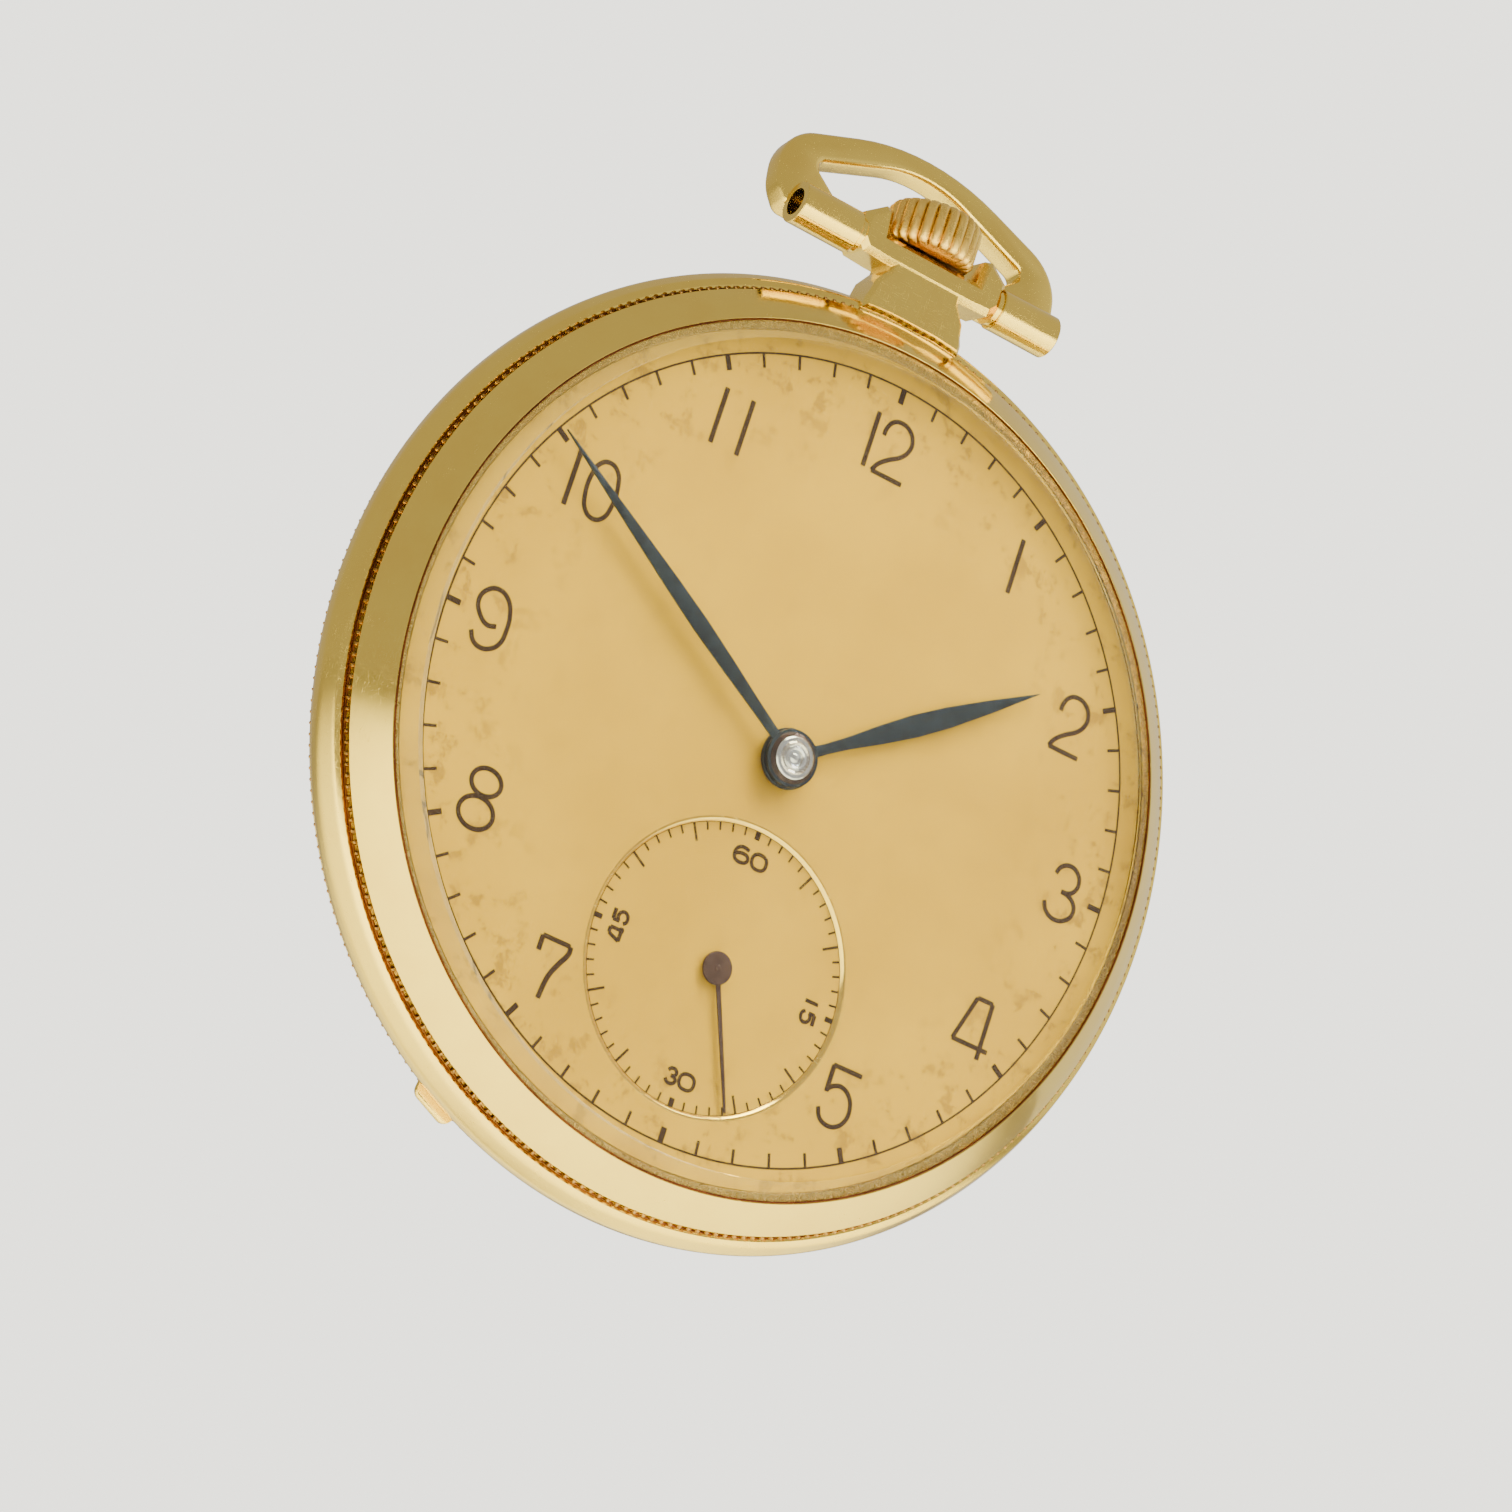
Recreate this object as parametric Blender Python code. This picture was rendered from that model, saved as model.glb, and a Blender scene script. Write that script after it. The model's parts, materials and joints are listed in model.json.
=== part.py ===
"""Open face pocket watch: a slim gold case with a stirrup bow, a sub-seconds dial and its lever movement.

Metres, +Z up towards 12 o'clock, the dial faces -Y and +X points to 3 o'clock. The world origin is
the inside crest of the bow, where a chain would hold the watch. Sizes below are in millimetres.
Inside the script x and z are measured from the dial's centre, and depth runs backwards (+Y) from
the dial's front surface.
"""
import bpy
import bmesh
from math import pi, sin, cos, tan, atan2, hypot, radians, degrees, sqrt
from mathutils import Matrix, Vector

MM = 0.001

# ---- driving sizes, mm ---------------------------------------------------------------------------
DIAL_RADIUS = 20.9
DIAL_THICKNESS = 0.35
DIAL_HOLE = 1.25              # radius of the centre hole
CALIBRE = DIAL_RADIUS / 20.9  # the movement grows with the dial
SECONDS_OFFSET = 10.86 * CALIBRE
SECONDS_DISC_RADIUS = 7.2 * CALIBRE
SECONDS_SINK = 0.15

CASE_WALL = 3.1               # dial edge to the outermost line of the band
BAND_FRONT = 1.25             # depth of the shoulder under the bezel
BAND_BACK = 3.65              # depth of the seam with the back cover
BACK_FLAT_RADIUS = 10.0
BACK_WALL = 0.6
BEZEL_TOP = -0.43             # depth of the bezel's bright inner rim
BEZEL_EDGE = 0.99             # depth where the bezel's cone ends
CRYSTAL_TOP = -2.1
CRYSTAL_BEVEL = -1.3          # depth of the bevel's upper edge
CRYSTAL_WALL = 0.8

PENDANT_DEPTH = 2.2           # depth of the stem's axis
NECK_WIDTH_FOOT = 5.8
NECK_WIDTH_TOP = 4.3
NECK_THICKNESS = 2.3
NECK_LENGTH = 1.75
HEAD_WIDTH = 8.8              # across the cross-head, between the bow's tubes
HEAD_HEIGHT = 2.75
HEAD_THICKNESS = 2.5
SADDLE_DEPTH = 1.35

CROWN_RADIUS = 2.47
SADDLE_WIDTH = 2 * CROWN_RADIUS + 0.56      # the crown turns free between the ears
CROWN_HEIGHT = 2.6
CROWN_FLUTES = 24
CROWN_PULL = 0.8
STEM_RADIUS = 0.45

BOW_TUBE_RADIUS = 1.12
BOW_TUBE_BORE = 0.8
BOW_TUBE_LENGTH = 3.5
BOW_AXIS_RISE = 0.88          # bow axis above the foot of the cross-head
BOW_AXIS_DEPTH = 1.88
BOW_BAR_THICKNESS = 1.5
BOW_BAR_OFFSET = 0.79         # tube axis to the bar's front face
BOW_LEAN = 16.0               # degrees, backwards
BOW_INNER_RISE = 5.81
BOW_OUTER_RISE = 7.07
BOW_HALF_WIDTH = 8.7

PLATE_THICKNESS = 1.3
TRAIN_HEIGHT = 1.6            # free height between the main plate and the bridges
BRIDGE_THICKNESS = 0.9

# ---- clearances, mm ------------------------------------------------------------------------------
SEAT_GAP = 0.03               # faces that rest on each other
RUNNING_GAP = 0.04            # an arbor in its bearing, per side
FREE_GAP = 0.1                # neighbours that only pass
WELD_REACH = 0.0002           # points closer than this are one

# ---- depths that follow --------------------------------------------------------------------------
PLATE_FRONT = DIAL_THICKNESS + SEAT_GAP
PLATE_BACK = PLATE_FRONT + PLATE_THICKNESS
BRIDGE_FRONT = PLATE_BACK + TRAIN_HEIGHT
BRIDGE_BACK = BRIDGE_FRONT + BRIDGE_THICKNESS
WHEEL_COVER_BACK = BRIDGE_BACK + 0.4       # back of the ratchet and crown wheels
BACK_DEPTH = BRIDGE_BACK + 1.52            # outside of the back cover's flat centre, over the screws
PLATE_RADIUS = DIAL_RADIUS - 0.5
FLANGE_RADIUS = PLATE_RADIUS + 0.3
CASE_BORE = PLATE_RADIUS + 0.1
CASE_RADIUS = DIAL_RADIUS + CASE_WALL
HEAD_FOOT = CASE_RADIUS + NECK_LENGTH
HEAD_TOP = HEAD_FOOT + HEAD_HEIGHT
BOW_AXIS = HEAD_FOOT + BOW_AXIS_RISE
SADDLE_FLOOR = HEAD_TOP - SADDLE_DEPTH
LEAN = radians(BOW_LEAN)

# ---- wheel work: teeth and modules ---------------------------------------------------------------
BARREL_TEETH, CENTRE_LEAVES = 72, 12
CENTRE_TEETH, THIRD_LEAVES = 64, 8
THIRD_TEETH, FOURTH_LEAVES = 60, 8
FOURTH_TEETH, ESCAPE_LEAVES = 60, 6
ESCAPE_TEETH = 15
CANNON_LEAVES, MINUTE_TEETH = 12, 36
MINUTE_LEAVES, HOUR_TEETH = 10, 40
RATCHET_TEETH, CROWN_WHEEL_TEETH, WINDING_TEETH = 40, 24, 14
BARREL_MODULE = 0.22 * CALIBRE
CENTRE_MODULE = 0.19 * CALIBRE
THIRD_MODULE = 0.18 * CALIBRE
FOURTH_MODULE = 0.15 * CALIBRE
HOUR_MODULE = 0.13 * CALIBRE
ESCAPE_RADIUS = 2.2 * CALIBRE
ESCAPE_TO_PALLET = 2.9 * CALIBRE
ESCAPE_TO_BALANCE = 8.3 * CALIBRE
BALANCE_RADIUS = 5.0 * CALIBRE
ADDENDUM = 0.7                # of the module, above the pitch circle
DEDENDUM = 1.15               # of the module, below it


def spread(module, teeth_a, teeth_b):
    """Distance between the centres of two meshing wheels."""
    return module * (teeth_a + teeth_b) / 2


def polar(radius, angle):
    """Point at an angle in degrees, counted from +X towards +Z."""
    return Vector((radius * cos(radians(angle)), radius * sin(radians(angle))))


# ---- arbor positions (x, z) ----------------------------------------------------------------------
CENTRE = Vector((0.0, 0.0))
FOURTH = Vector((0.0, -SECONDS_OFFSET))
THIRD_REACH = spread(CENTRE_MODULE, CENTRE_TEETH, THIRD_LEAVES)
FOURTH_REACH = spread(THIRD_MODULE, THIRD_TEETH, FOURTH_LEAVES)
THIRD_DROP = (THIRD_REACH ** 2 - FOURTH_REACH ** 2 + SECONDS_OFFSET ** 2) / (2 * SECONDS_OFFSET)
THIRD = Vector((-sqrt(THIRD_REACH ** 2 - THIRD_DROP ** 2), -THIRD_DROP))
BARREL = polar(spread(BARREL_MODULE, BARREL_TEETH, CENTRE_LEAVES), 135)
ESCAPE = FOURTH + polar(spread(FOURTH_MODULE, FOURTH_TEETH, ESCAPE_LEAVES), -15)
BALANCE = ESCAPE + polar(ESCAPE_TO_BALANCE, 45.6)
PALLET = ESCAPE + polar(ESCAPE_TO_PALLET, 45.6)
MOTION_REACH = spread(HOUR_MODULE, MINUTE_LEAVES, HOUR_TEETH)
MINUTE_MODULE = 2 * MOTION_REACH / (CANNON_LEAVES + MINUTE_TEETH)
MINUTE = polar(MOTION_REACH, 60)
CROWN_WHEEL = Vector((0.0, 11.0 * CALIBRE))
RATCHET_MODULE = 2 * (CROWN_WHEEL - BARREL).length / (RATCHET_TEETH + CROWN_WHEEL_TEETH)
WINDING_PLACE = CROWN_WHEEL.y + RATCHET_MODULE * CROWN_WHEEL_TEETH / 2   # middle of the pinion on the stem

FINE, MEDIUM, COARSE = 44, 24, 12          # facets round a case part, a wheel's rim and a screw or arbor


def clear_scene():
    for item in list(bpy.data.objects):
        bpy.data.objects.remove(item, do_unlink=True)


def finish(name, color, roughness, metallic):
    """Plain Principled material with one colour."""
    material = bpy.data.materials.new(name)
    material.use_nodes = True
    shader = material.node_tree.nodes["Principled BSDF"]
    shader.inputs["Base Color"].default_value = (*color, 1.0)
    shader.inputs["Roughness"].default_value = roughness
    shader.inputs["Metallic"].default_value = metallic
    return material


# ---- outlines ------------------------------------------------------------------------------------
def circle(radius, count=COARSE, centre=(0.0, 0.0)):
    return [(centre[0] + radius * cos(2 * pi * i / count), centre[1] + radius * sin(2 * pi * i / count))
            for i in range(count)]


def toothed(teeth, module, first=0.0):
    """Wheel outline with pointed teeth; first is the angle of one tooth in degrees."""
    pitch_radius = module * teeth / 2
    tip, root = pitch_radius + ADDENDUM * module, pitch_radius - DEDENDUM * module
    step = 2 * pi / teeth
    points = []
    for tooth in range(teeth):
        for share, radius in ((-0.5, root), (0.0, tip)):
            angle = radians(first) + (tooth + share) * step
            points.append((radius * cos(angle), radius * sin(angle)))
    return points


def mesh_angle(own, other, own_teeth, other_teeth, other_first):
    """Angle of a tooth on a wheel at own, so that it falls in a gap of the wheel at other."""
    towards = degrees(atan2(other[1] - own[1], other[0] - own[0]))
    back = towards + 180
    shift = (back - other_first) % (360 / other_teeth) * other_teeth / 360
    return towards + (shift + 0.5) * 360 / own_teeth


def rounded(corners, steps=5):
    """Outline whose corners (x, z, radius) are replaced by arcs; a radius of 0 keeps the corner."""
    points = []
    for i, (x, z, radius) in enumerate(corners):
        here = Vector((x, z))
        before = Vector(corners[i - 1][:2]) - here
        after = Vector(corners[(i + 1) % len(corners)][:2]) - here
        half = before.angle(after) / 2
        if radius == 0:
            points.append((x, z))
            continue
        reach = radius / tan(half)
        centre = here + (before.normalized() + after.normalized()).normalized() * radius / sin(half)
        start = here + before.normalized() * reach - centre
        sweep = (here + after.normalized() * reach - centre).angle_signed(start)
        for k in range(steps + 1):
            turn = Matrix.Rotation(sweep * k / steps, 2)
            points.append(tuple(centre + turn @ start))
    return points


def framed(along, pairs, origin=(0.0, 0.0)):
    """Points given as (across, along) in a frame turned so that its second axis is along."""
    across = Vector((along.y, -along.x))
    return [tuple(Vector(origin) + across * a + along * b) for a, b in pairs]


def fitted(points):
    """Outline of a bridge, grown with the calibre."""
    return [(x * CALIBRE, z * CALIBRE) for x, z in points]


def mirrored(half):
    """Outline symmetric about x = 0, from its right half listed top to bottom."""
    return half + [(-x, *rest) for x, *rest in reversed(half)]


# ---- solids --------------------------------------------------------------------------------------
def closed(bm):
    bmesh.ops.remove_doubles(bm, verts=bm.verts, dist=1e-7)
    bmesh.ops.dissolve_degenerate(bm, dist=1e-8, edges=bm.edges)
    bmesh.ops.recalc_face_normals(bm, faces=bm.faces)
    return bm


def turned(profile, count=FINE):
    """Solid turned about the Y axis from (radius, depth) points; points on the axis close it."""
    bm = bmesh.new()
    ring = [bm.verts.new((radius * MM, depth * MM, 0)) for radius, depth in profile]
    pairs = list(zip(ring, ring[1:]))
    if profile[0][0] > 0 or profile[-1][0] > 0:
        pairs.append((ring[-1], ring[0]))
    edges = [bm.edges.new(pair) for pair in pairs]
    bmesh.ops.spin(bm, geom=ring + edges, cent=(0, 0, 0), axis=(0, 1, 0), angle=2 * pi,
                   steps=count, use_merge=True)
    return closed(bm)


def slab(loops, near, far):
    """Flat solid between two depths from an outline and its holes, all as (x, z) points."""
    bm = bmesh.new()
    edges = []
    for loop in loops:
        verts = [bm.verts.new((x * MM, near * MM, z * MM)) for x, z in loop]
        edges += [bm.edges.new((verts[i - 1], verts[i])) for i in range(len(verts))]
    bmesh.ops.triangle_fill(bm, use_beauty=True, use_dissolve=False, edges=edges, normal=(0, -1, 0))
    lifted = bmesh.ops.extrude_face_region(bm, geom=bm.faces[:])["geom"]
    bmesh.ops.translate(bm, verts=[v for v in lifted if isinstance(v, bmesh.types.BMVert)],
                        vec=(0, (far - near) * MM, 0))
    return closed(bm)


def rod(radius, near, far, count=16, bore=0.0):
    """Cylinder or tube along the depth."""
    if bore:
        return turned([(bore, near), (radius, near), (radius, far), (bore, far)], count)
    return turned([(0, near), (radius, near), (radius, far), (0, far)], count)


def block(x0, x1, near, far, z0, z1):
    return slab([[(x0, z0), (x1, z0), (x1, z1), (x0, z1)]], near, far)


def turn_to(bm, axis):
    """Turns a solid made about Y so that its depth runs along X or Z instead."""
    angle, about = (-pi / 2, "Z") if axis == "X" else (pi / 2, "X")
    bmesh.ops.rotate(bm, verts=bm.verts, cent=(0, 0, 0), matrix=Matrix.Rotation(angle, 3, about))
    return bm


def moved(bm, x=0.0, depth=0.0, z=0.0):
    bmesh.ops.translate(bm, verts=bm.verts, vec=(x * MM, depth * MM, z * MM))
    return bm


def place(name, bm, material, at=(0.0, 0.0, 0.0), guide=False):
    """Object from a bmesh, with its origin at (x, depth, z) from the dial's centre."""
    mesh = bpy.data.meshes.new(name)
    bm.to_mesh(mesh)
    bm.free()
    item = bpy.data.objects.new(name, mesh)
    bpy.context.scene.collection.objects.link(item)
    item.parent = bpy.data.objects["dial_centre"]
    item.location = [value * MM for value in at]
    if material:
        mesh.materials.append(material)
    mesh.shade_smooth()
    mesh.set_sharp_from_angle(angle=radians(32))
    if guide:
        item.hide_render = True
        item.display_type = "WIRE"
    return item


def combine(item, pieces, operation):
    """Adds or cuts guide solids, given in the item's own coordinates, with exact booleans."""
    for number, bm in enumerate(pieces):
        guide = place(f"{item.name}_{operation.lower()}_{len(item.modifiers) + number}", bm, None, guide=True)
        guide.parent = item
        modifier = item.modifiers.new(guide.name, "BOOLEAN")
        modifier.operation = operation
        modifier.solver = "EXACT"
        modifier.object = guide


def weld_seams():
    """Merges the doubled points that exact booleans can leave along a cut."""
    for item in bpy.data.objects:
        if item.modifiers:
            weld = item.modifiers.new("seams", "WELD")
            weld.merge_threshold = WELD_REACH * MM


def join(item, *pieces):
    combine(item, pieces, "UNION")


def cut(item, *pieces):
    combine(item, pieces, "DIFFERENCE")


def at(point, depth=0.0):
    return (point[0], depth, point[1])


def bore(radius, point, near=-1.0, far=9.0):
    """Cutter for a hole along the depth."""
    return moved(rod(radius, near, far, COARSE), x=point[0], z=point[1])


# ---- case ----------------------------------------------------------------------------------------
REGISTER_RADIUS = DIAL_RADIUS + 0.6        # upstanding rim that the bezel snaps over
BEZEL_RADIUS = CASE_RADIUS - 0.73
BEZEL_BORE = DIAL_RADIUS + 0.1
CRYSTAL_RADIUS = BEZEL_BORE + 0.3
BEZEL_LIP = -0.05                          # depth of the ledge that carries the crystal
BACK_SKIRT_RADIUS = DIAL_RADIUS + 0.5


def band_profile(grow=0.0):
    """Section of the case middle; grow widens its outside for the cut that seats the pendant."""
    outer = [(CASE_RADIUS - 0.95, BAND_FRONT), (CASE_RADIUS - 0.95, BAND_FRONT + 0.15),
             (CASE_RADIUS - 0.5, BAND_FRONT + 0.2), (CASE_RADIUS - 0.15, BAND_FRONT + 0.55),
             (CASE_RADIUS, BAND_FRONT + 1.15), (CASE_RADIUS - 0.05, BAND_BACK - 0.6),
             (CASE_RADIUS - 0.3, BAND_BACK)]
    return [(radius + grow, depth) for radius, depth in outer]


def make_case(gold, glass):
    rim_top = PLATE_FRONT
    ledge = CASE_BORE + 0.4
    profile = [(REGISTER_RADIUS, rim_top), (REGISTER_RADIUS, BAND_FRONT)] + band_profile()
    profile += [(BACK_SKIRT_RADIUS + SEAT_GAP, BAND_BACK), (BACK_SKIRT_RADIUS + SEAT_GAP, BAND_BACK - 0.5),
                (ledge, BAND_BACK - 0.5), (ledge, PLATE_BACK), (CASE_BORE, PLATE_BACK),
                (CASE_BORE, PLATE_FRONT + 0.35),
                (FLANGE_RADIUS + SEAT_GAP, PLATE_FRONT + 0.35), (FLANGE_RADIUS + SEAT_GAP, rim_top)]
    middle = place("case_middle", turned(profile), gold)
    stem_hole = turn_to(rod(STEM_RADIUS + 0.35, 0, 10, 24), "Z")
    cut(middle, moved(stem_hole, depth=PENDANT_DEPTH, z=CASE_RADIUS - 6))

    bezel_foot = BAND_FRONT - SEAT_GAP
    place("bezel", turned([
        (CRYSTAL_RADIUS + SEAT_GAP, BEZEL_TOP), (CRYSTAL_RADIUS + 0.15, BEZEL_TOP - 0.03),
        (BEZEL_RADIUS, BEZEL_EDGE), (BEZEL_RADIUS, bezel_foot - 0.08), (BEZEL_RADIUS - 0.1, bezel_foot),
        (REGISTER_RADIUS + SEAT_GAP, bezel_foot), (REGISTER_RADIUS + SEAT_GAP, rim_top - SEAT_GAP),
        (BEZEL_BORE, rim_top - SEAT_GAP), (BEZEL_BORE, BEZEL_LIP),
        (CRYSTAL_RADIUS + SEAT_GAP, BEZEL_LIP)]), gold)

    bevel_foot = BEZEL_TOP - 0.07
    shoulder = CRYSTAL_RADIUS - 0.95
    inner_top = CRYSTAL_TOP + CRYSTAL_WALL
    place("crystal", turned([
        (0, CRYSTAL_TOP), (shoulder * 0.5, CRYSTAL_TOP + (CRYSTAL_BEVEL - CRYSTAL_TOP) * 0.25),
        (shoulder, CRYSTAL_BEVEL), (CRYSTAL_RADIUS - 0.05, bevel_foot),
        (CRYSTAL_RADIUS, bevel_foot + 0.05), (CRYSTAL_RADIUS, BEZEL_LIP - SEAT_GAP),
        (BEZEL_BORE - 0.35, BEZEL_LIP - SEAT_GAP), (BEZEL_BORE - 0.6, CRYSTAL_BEVEL + 0.45),
        (shoulder * 0.5, inner_top + 0.08), (0, inner_top)]), glass)

    inner = BACK_DEPTH - BACK_WALL
    seam = BAND_BACK + SEAT_GAP
    rise = BACK_DEPTH - seam
    back = place("back_cover", turned([
        (0, BACK_DEPTH), (BACK_FLAT_RADIUS, BACK_DEPTH), (CASE_RADIUS * 0.63, seam + rise * 0.93),
        (CASE_RADIUS * 0.8, seam + rise * 0.78), (CASE_RADIUS * 0.92, seam + rise * 0.53),
        (CASE_RADIUS - 0.55, seam + rise * 0.22), (CASE_RADIUS - 0.3, seam + 0.1),
        (CASE_RADIUS - 0.35, seam), (BACK_SKIRT_RADIUS, seam), (BACK_SKIRT_RADIUS, BAND_BACK - 0.47),
        (BACK_SKIRT_RADIUS - 0.4, BAND_BACK - 0.47), (BACK_SKIRT_RADIUS - 0.4, seam + 0.25),
        (CASE_RADIUS * 0.79, seam + rise * 0.78 - BACK_WALL), (CASE_RADIUS * 0.62, inner - rise * 0.07),
        (BACK_FLAT_RADIUS, inner), (0, inner)]), gold)
    lip = slab([rounded([(-1.5, CASE_RADIUS - 1.2, 0), (1.5, CASE_RADIUS - 1.2, 0),
                         (1.0, CASE_RADIUS + 0.25, 0.4), (-1.0, CASE_RADIUS + 0.25, 0.4)])],
               seam + 0.02, seam + 0.3)
    bmesh.ops.rotate(lip, verts=lip.verts, cent=(0, 0, 0), matrix=Matrix.Rotation(radians(205), 3, "Y"))
    join(back, lip)


def make_pendant(gold):
    """Neck and cross-head, with the U saddle that half hides the crown."""
    half_foot, half_top = NECK_WIDTH_FOOT / 2, NECK_WIDTH_TOP / 2
    half_head, half_saddle = HEAD_WIDTH / 2, SADDLE_WIDTH / 2
    outline = mirrored([
        (half_saddle, SADDLE_FLOOR), (half_saddle + 0.15, HEAD_TOP - 0.15), (half_saddle + 0.6, HEAD_TOP - 0.05),
        (half_head, HEAD_TOP - 0.75), (half_head, HEAD_FOOT + 0.55), (half_head - 0.45, HEAD_FOOT + 0.05),
        (half_top, HEAD_FOOT), (half_foot, CASE_RADIUS + 0.15), (half_foot + 2.3, CASE_RADIUS - 0.45),
        (half_foot + 2.3, CASE_RADIUS - 1.3)])
    front = PENDANT_DEPTH - HEAD_THICKNESS / 2
    pendant = place("pendant", slab([outline], front, front + HEAD_THICKNESS), gold)
    free = BEZEL_RADIUS + SEAT_GAP
    seat = [(CASE_RADIUS - 4.0, BAND_FRONT - 1.5), (free, BAND_FRONT - 1.5), (free, BAND_FRONT + 0.17)]
    seat += band_profile(SEAT_GAP)[2:] + [(CASE_RADIUS - 0.3 + SEAT_GAP, BAND_BACK + 1.5),
                                          (CASE_RADIUS - 4.0, BAND_BACK + 1.5)]
    side = NECK_THICKNESS / 2
    trim = CASE_RADIUS - 2.0
    cut(pendant, turned(seat),
        block(-9, 9, 0, PENDANT_DEPTH - side, trim, HEAD_FOOT - 0.1),
        block(-9, 9, PENDANT_DEPTH + side, 6, trim, HEAD_FOOT - 0.1),
        moved(turn_to(rod(STEM_RADIUS + 0.15, 0, 12, 24), "Z"), depth=PENDANT_DEPTH, z=CASE_RADIUS - 3),
        moved(turn_to(rod(0.47, 0, 2.2, 20), "X"), x=half_head - 1.7, depth=BOW_AXIS_DEPTH, z=BOW_AXIS),
        moved(turn_to(rod(0.47, 0, 2.2, 20), "X"), x=-half_head - 0.5, depth=BOW_AXIS_DEPTH, z=BOW_AXIS))


def crest(rise, slope, radius):
    """Height of the corner whose rounding peaks at rise, between two lines of the given slope."""
    return rise + radius * (sqrt(1 + slope ** 2) - 1)


def bow_outline():
    """Front view of the bow's bar, heights counted from the tubes' axis."""
    start = HEAD_WIDTH / 2 + FREE_GAP
    width, reach = BOW_HALF_WIDTH, BOW_HALF_WIDTH - 1.9
    top, under = crest(BOW_OUTER_RISE, 0.4, 11.8), crest(BOW_INNER_RISE, 0.42, 6.4)
    outer = [(0, top, 11.8), (width, top - 0.4 * width, 2.5), (width, 1.55, 2.5), (start + BOW_TUBE_LENGTH, 0, 0)]
    inner = [(start, 0, 0), (start, 1.48, 0), (reach, under - 0.42 * reach, 0.45), (0, under, 6.4)]
    left = [(-x, z, radius) for x, z, radius in reversed(outer[1:])]
    left_inner = [(-x, z, radius) for x, z, radius in reversed(inner[:-1])]
    return rounded(left + outer + inner + left_inner, 4)


def make_bow(gold, steel):
    """Flat stirrup whose end tubes turn on two screws in the cross-head."""
    near = BOW_BAR_OFFSET
    bow = place("bow", slab([bow_outline()], near, near + BOW_BAR_THICKNESS), gold,
                (0, BOW_AXIS_DEPTH, BOW_AXIS))
    bow.rotation_euler.x = -LEAN
    inside = HEAD_WIDTH / 2 + FREE_GAP
    middle = inside + BOW_TUBE_LENGTH / 2
    half = BOW_TUBE_LENGTH / 2
    for side in (1, -1):
        join(bow, moved(turn_to(rod(BOW_TUBE_RADIUS, -half, half, 24), "X"), x=side * middle))
    for side in (1, -1):
        cut(bow, moved(turn_to(rod(0.5, -half - 1, half + 1, 20), "X"), x=side * middle),
            moved(turn_to(rod(BOW_TUBE_BORE, -half, half, 20), "X"), x=side * (middle + 1.2)))
    for side, name in ((1, "bow_screw_right"), (-1, "bow_screw_left")):
        head = inside + 1.25
        screw = turn_to(turned([(0, -1.5), (0.43, -1.5), (0.43, head - inside + 0.02),
                                (BOW_TUBE_BORE - 0.06, head - inside + 0.02),
                                (BOW_TUBE_BORE - 0.06, head - inside + 0.6), (0, head - inside + 0.6)], 20), "X")
        if side < 0:
            bmesh.ops.rotate(screw, verts=screw.verts, cent=(0, 0, 0), matrix=Matrix.Rotation(pi, 3, "Z"))
        place(name, moved(screw, x=side * inside), steel, (0, BOW_AXIS_DEPTH, BOW_AXIS))


def make_crown(gold, steel):
    """Fluted crown on its stem, both turning about the stem's axis."""
    crown_foot = SADDLE_FLOOR + 0.12
    axis_place = (0, PENDANT_DEPTH, crown_foot)
    step = 2 * pi / CROWN_FLUTES
    outline = []
    for flute in range(CROWN_FLUTES):
        for share, radius in ((0.0, CROWN_RADIUS), (0.5, CROWN_RADIUS - 0.22)):
            outline.append((radius * cos((flute + share) * step), radius * sin((flute + share) * step)))
    body = turn_to(slab([outline], 0, CROWN_HEIGHT), "Z")
    crown = place("crown", body, gold, axis_place)
    around = turned([(CROWN_RADIUS + 1, -1), (CROWN_RADIUS - 0.3, -1), (CROWN_RADIUS - 0.3, 0.05),
                     (CROWN_RADIUS + 0.05, 0.35), (CROWN_RADIUS + 0.05, CROWN_HEIGHT - 0.8),
                     (CROWN_RADIUS - 0.75, CROWN_HEIGHT - 0.1), (0, CROWN_HEIGHT), (0, CROWN_HEIGHT + 1),
                     (CROWN_RADIUS + 1, CROWN_HEIGHT + 1)], 24)
    cut(crown, turn_to(around, "Z"), turn_to(rod(STEM_RADIUS + 0.02, -1, 1.2, 24), "Z"))
    shoulder = WINDING_PLACE + 0.6 - crown_foot
    end = WINDING_PLACE - 2.4 - crown_foot
    stem = turn_to(turned([(0, 1.1), (STEM_RADIUS, 1.1), (STEM_RADIUS, shoulder), (STEM_RADIUS - 0.15, shoulder),
                           (STEM_RADIUS - 0.15, end), (0, end)], 20), "Z")
    place("stem", stem, steel, axis_place)


# ---- dial and hands ------------------------------------------------------------------------------
def make_dial(champagne):
    seat = SECONDS_DISC_RADIUS + 0.02
    cell = (0.0, -SECONDS_OFFSET)
    place("dial", slab([circle(DIAL_RADIUS, FINE), circle(DIAL_HOLE), circle(seat, FINE, cell)],
                       0, DIAL_THICKNESS), champagne)
    place("seconds_dial", turned([(0.45, SECONDS_SINK), (SECONDS_DISC_RADIUS - 0.25, SECONDS_SINK),
                                  (SECONDS_DISC_RADIUS - 0.05, 0), (SECONDS_DISC_RADIUS, 0.02),
                                  (SECONDS_DISC_RADIUS, DIAL_THICKNESS), (0.45, DIAL_THICKNESS)], 48),
          champagne, at(FOURTH))


def leaf(length, tail, waist, belly, place_of_belly):
    """Long pointed hand: narrow at the hub, widest a little way out, then tapering to the tip."""
    right = [(0.03, length), (belly, place_of_belly), (waist, tail)]
    return [(x, z) for x, z in right] + [(-x, z) for x, z in reversed(right)]


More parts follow.
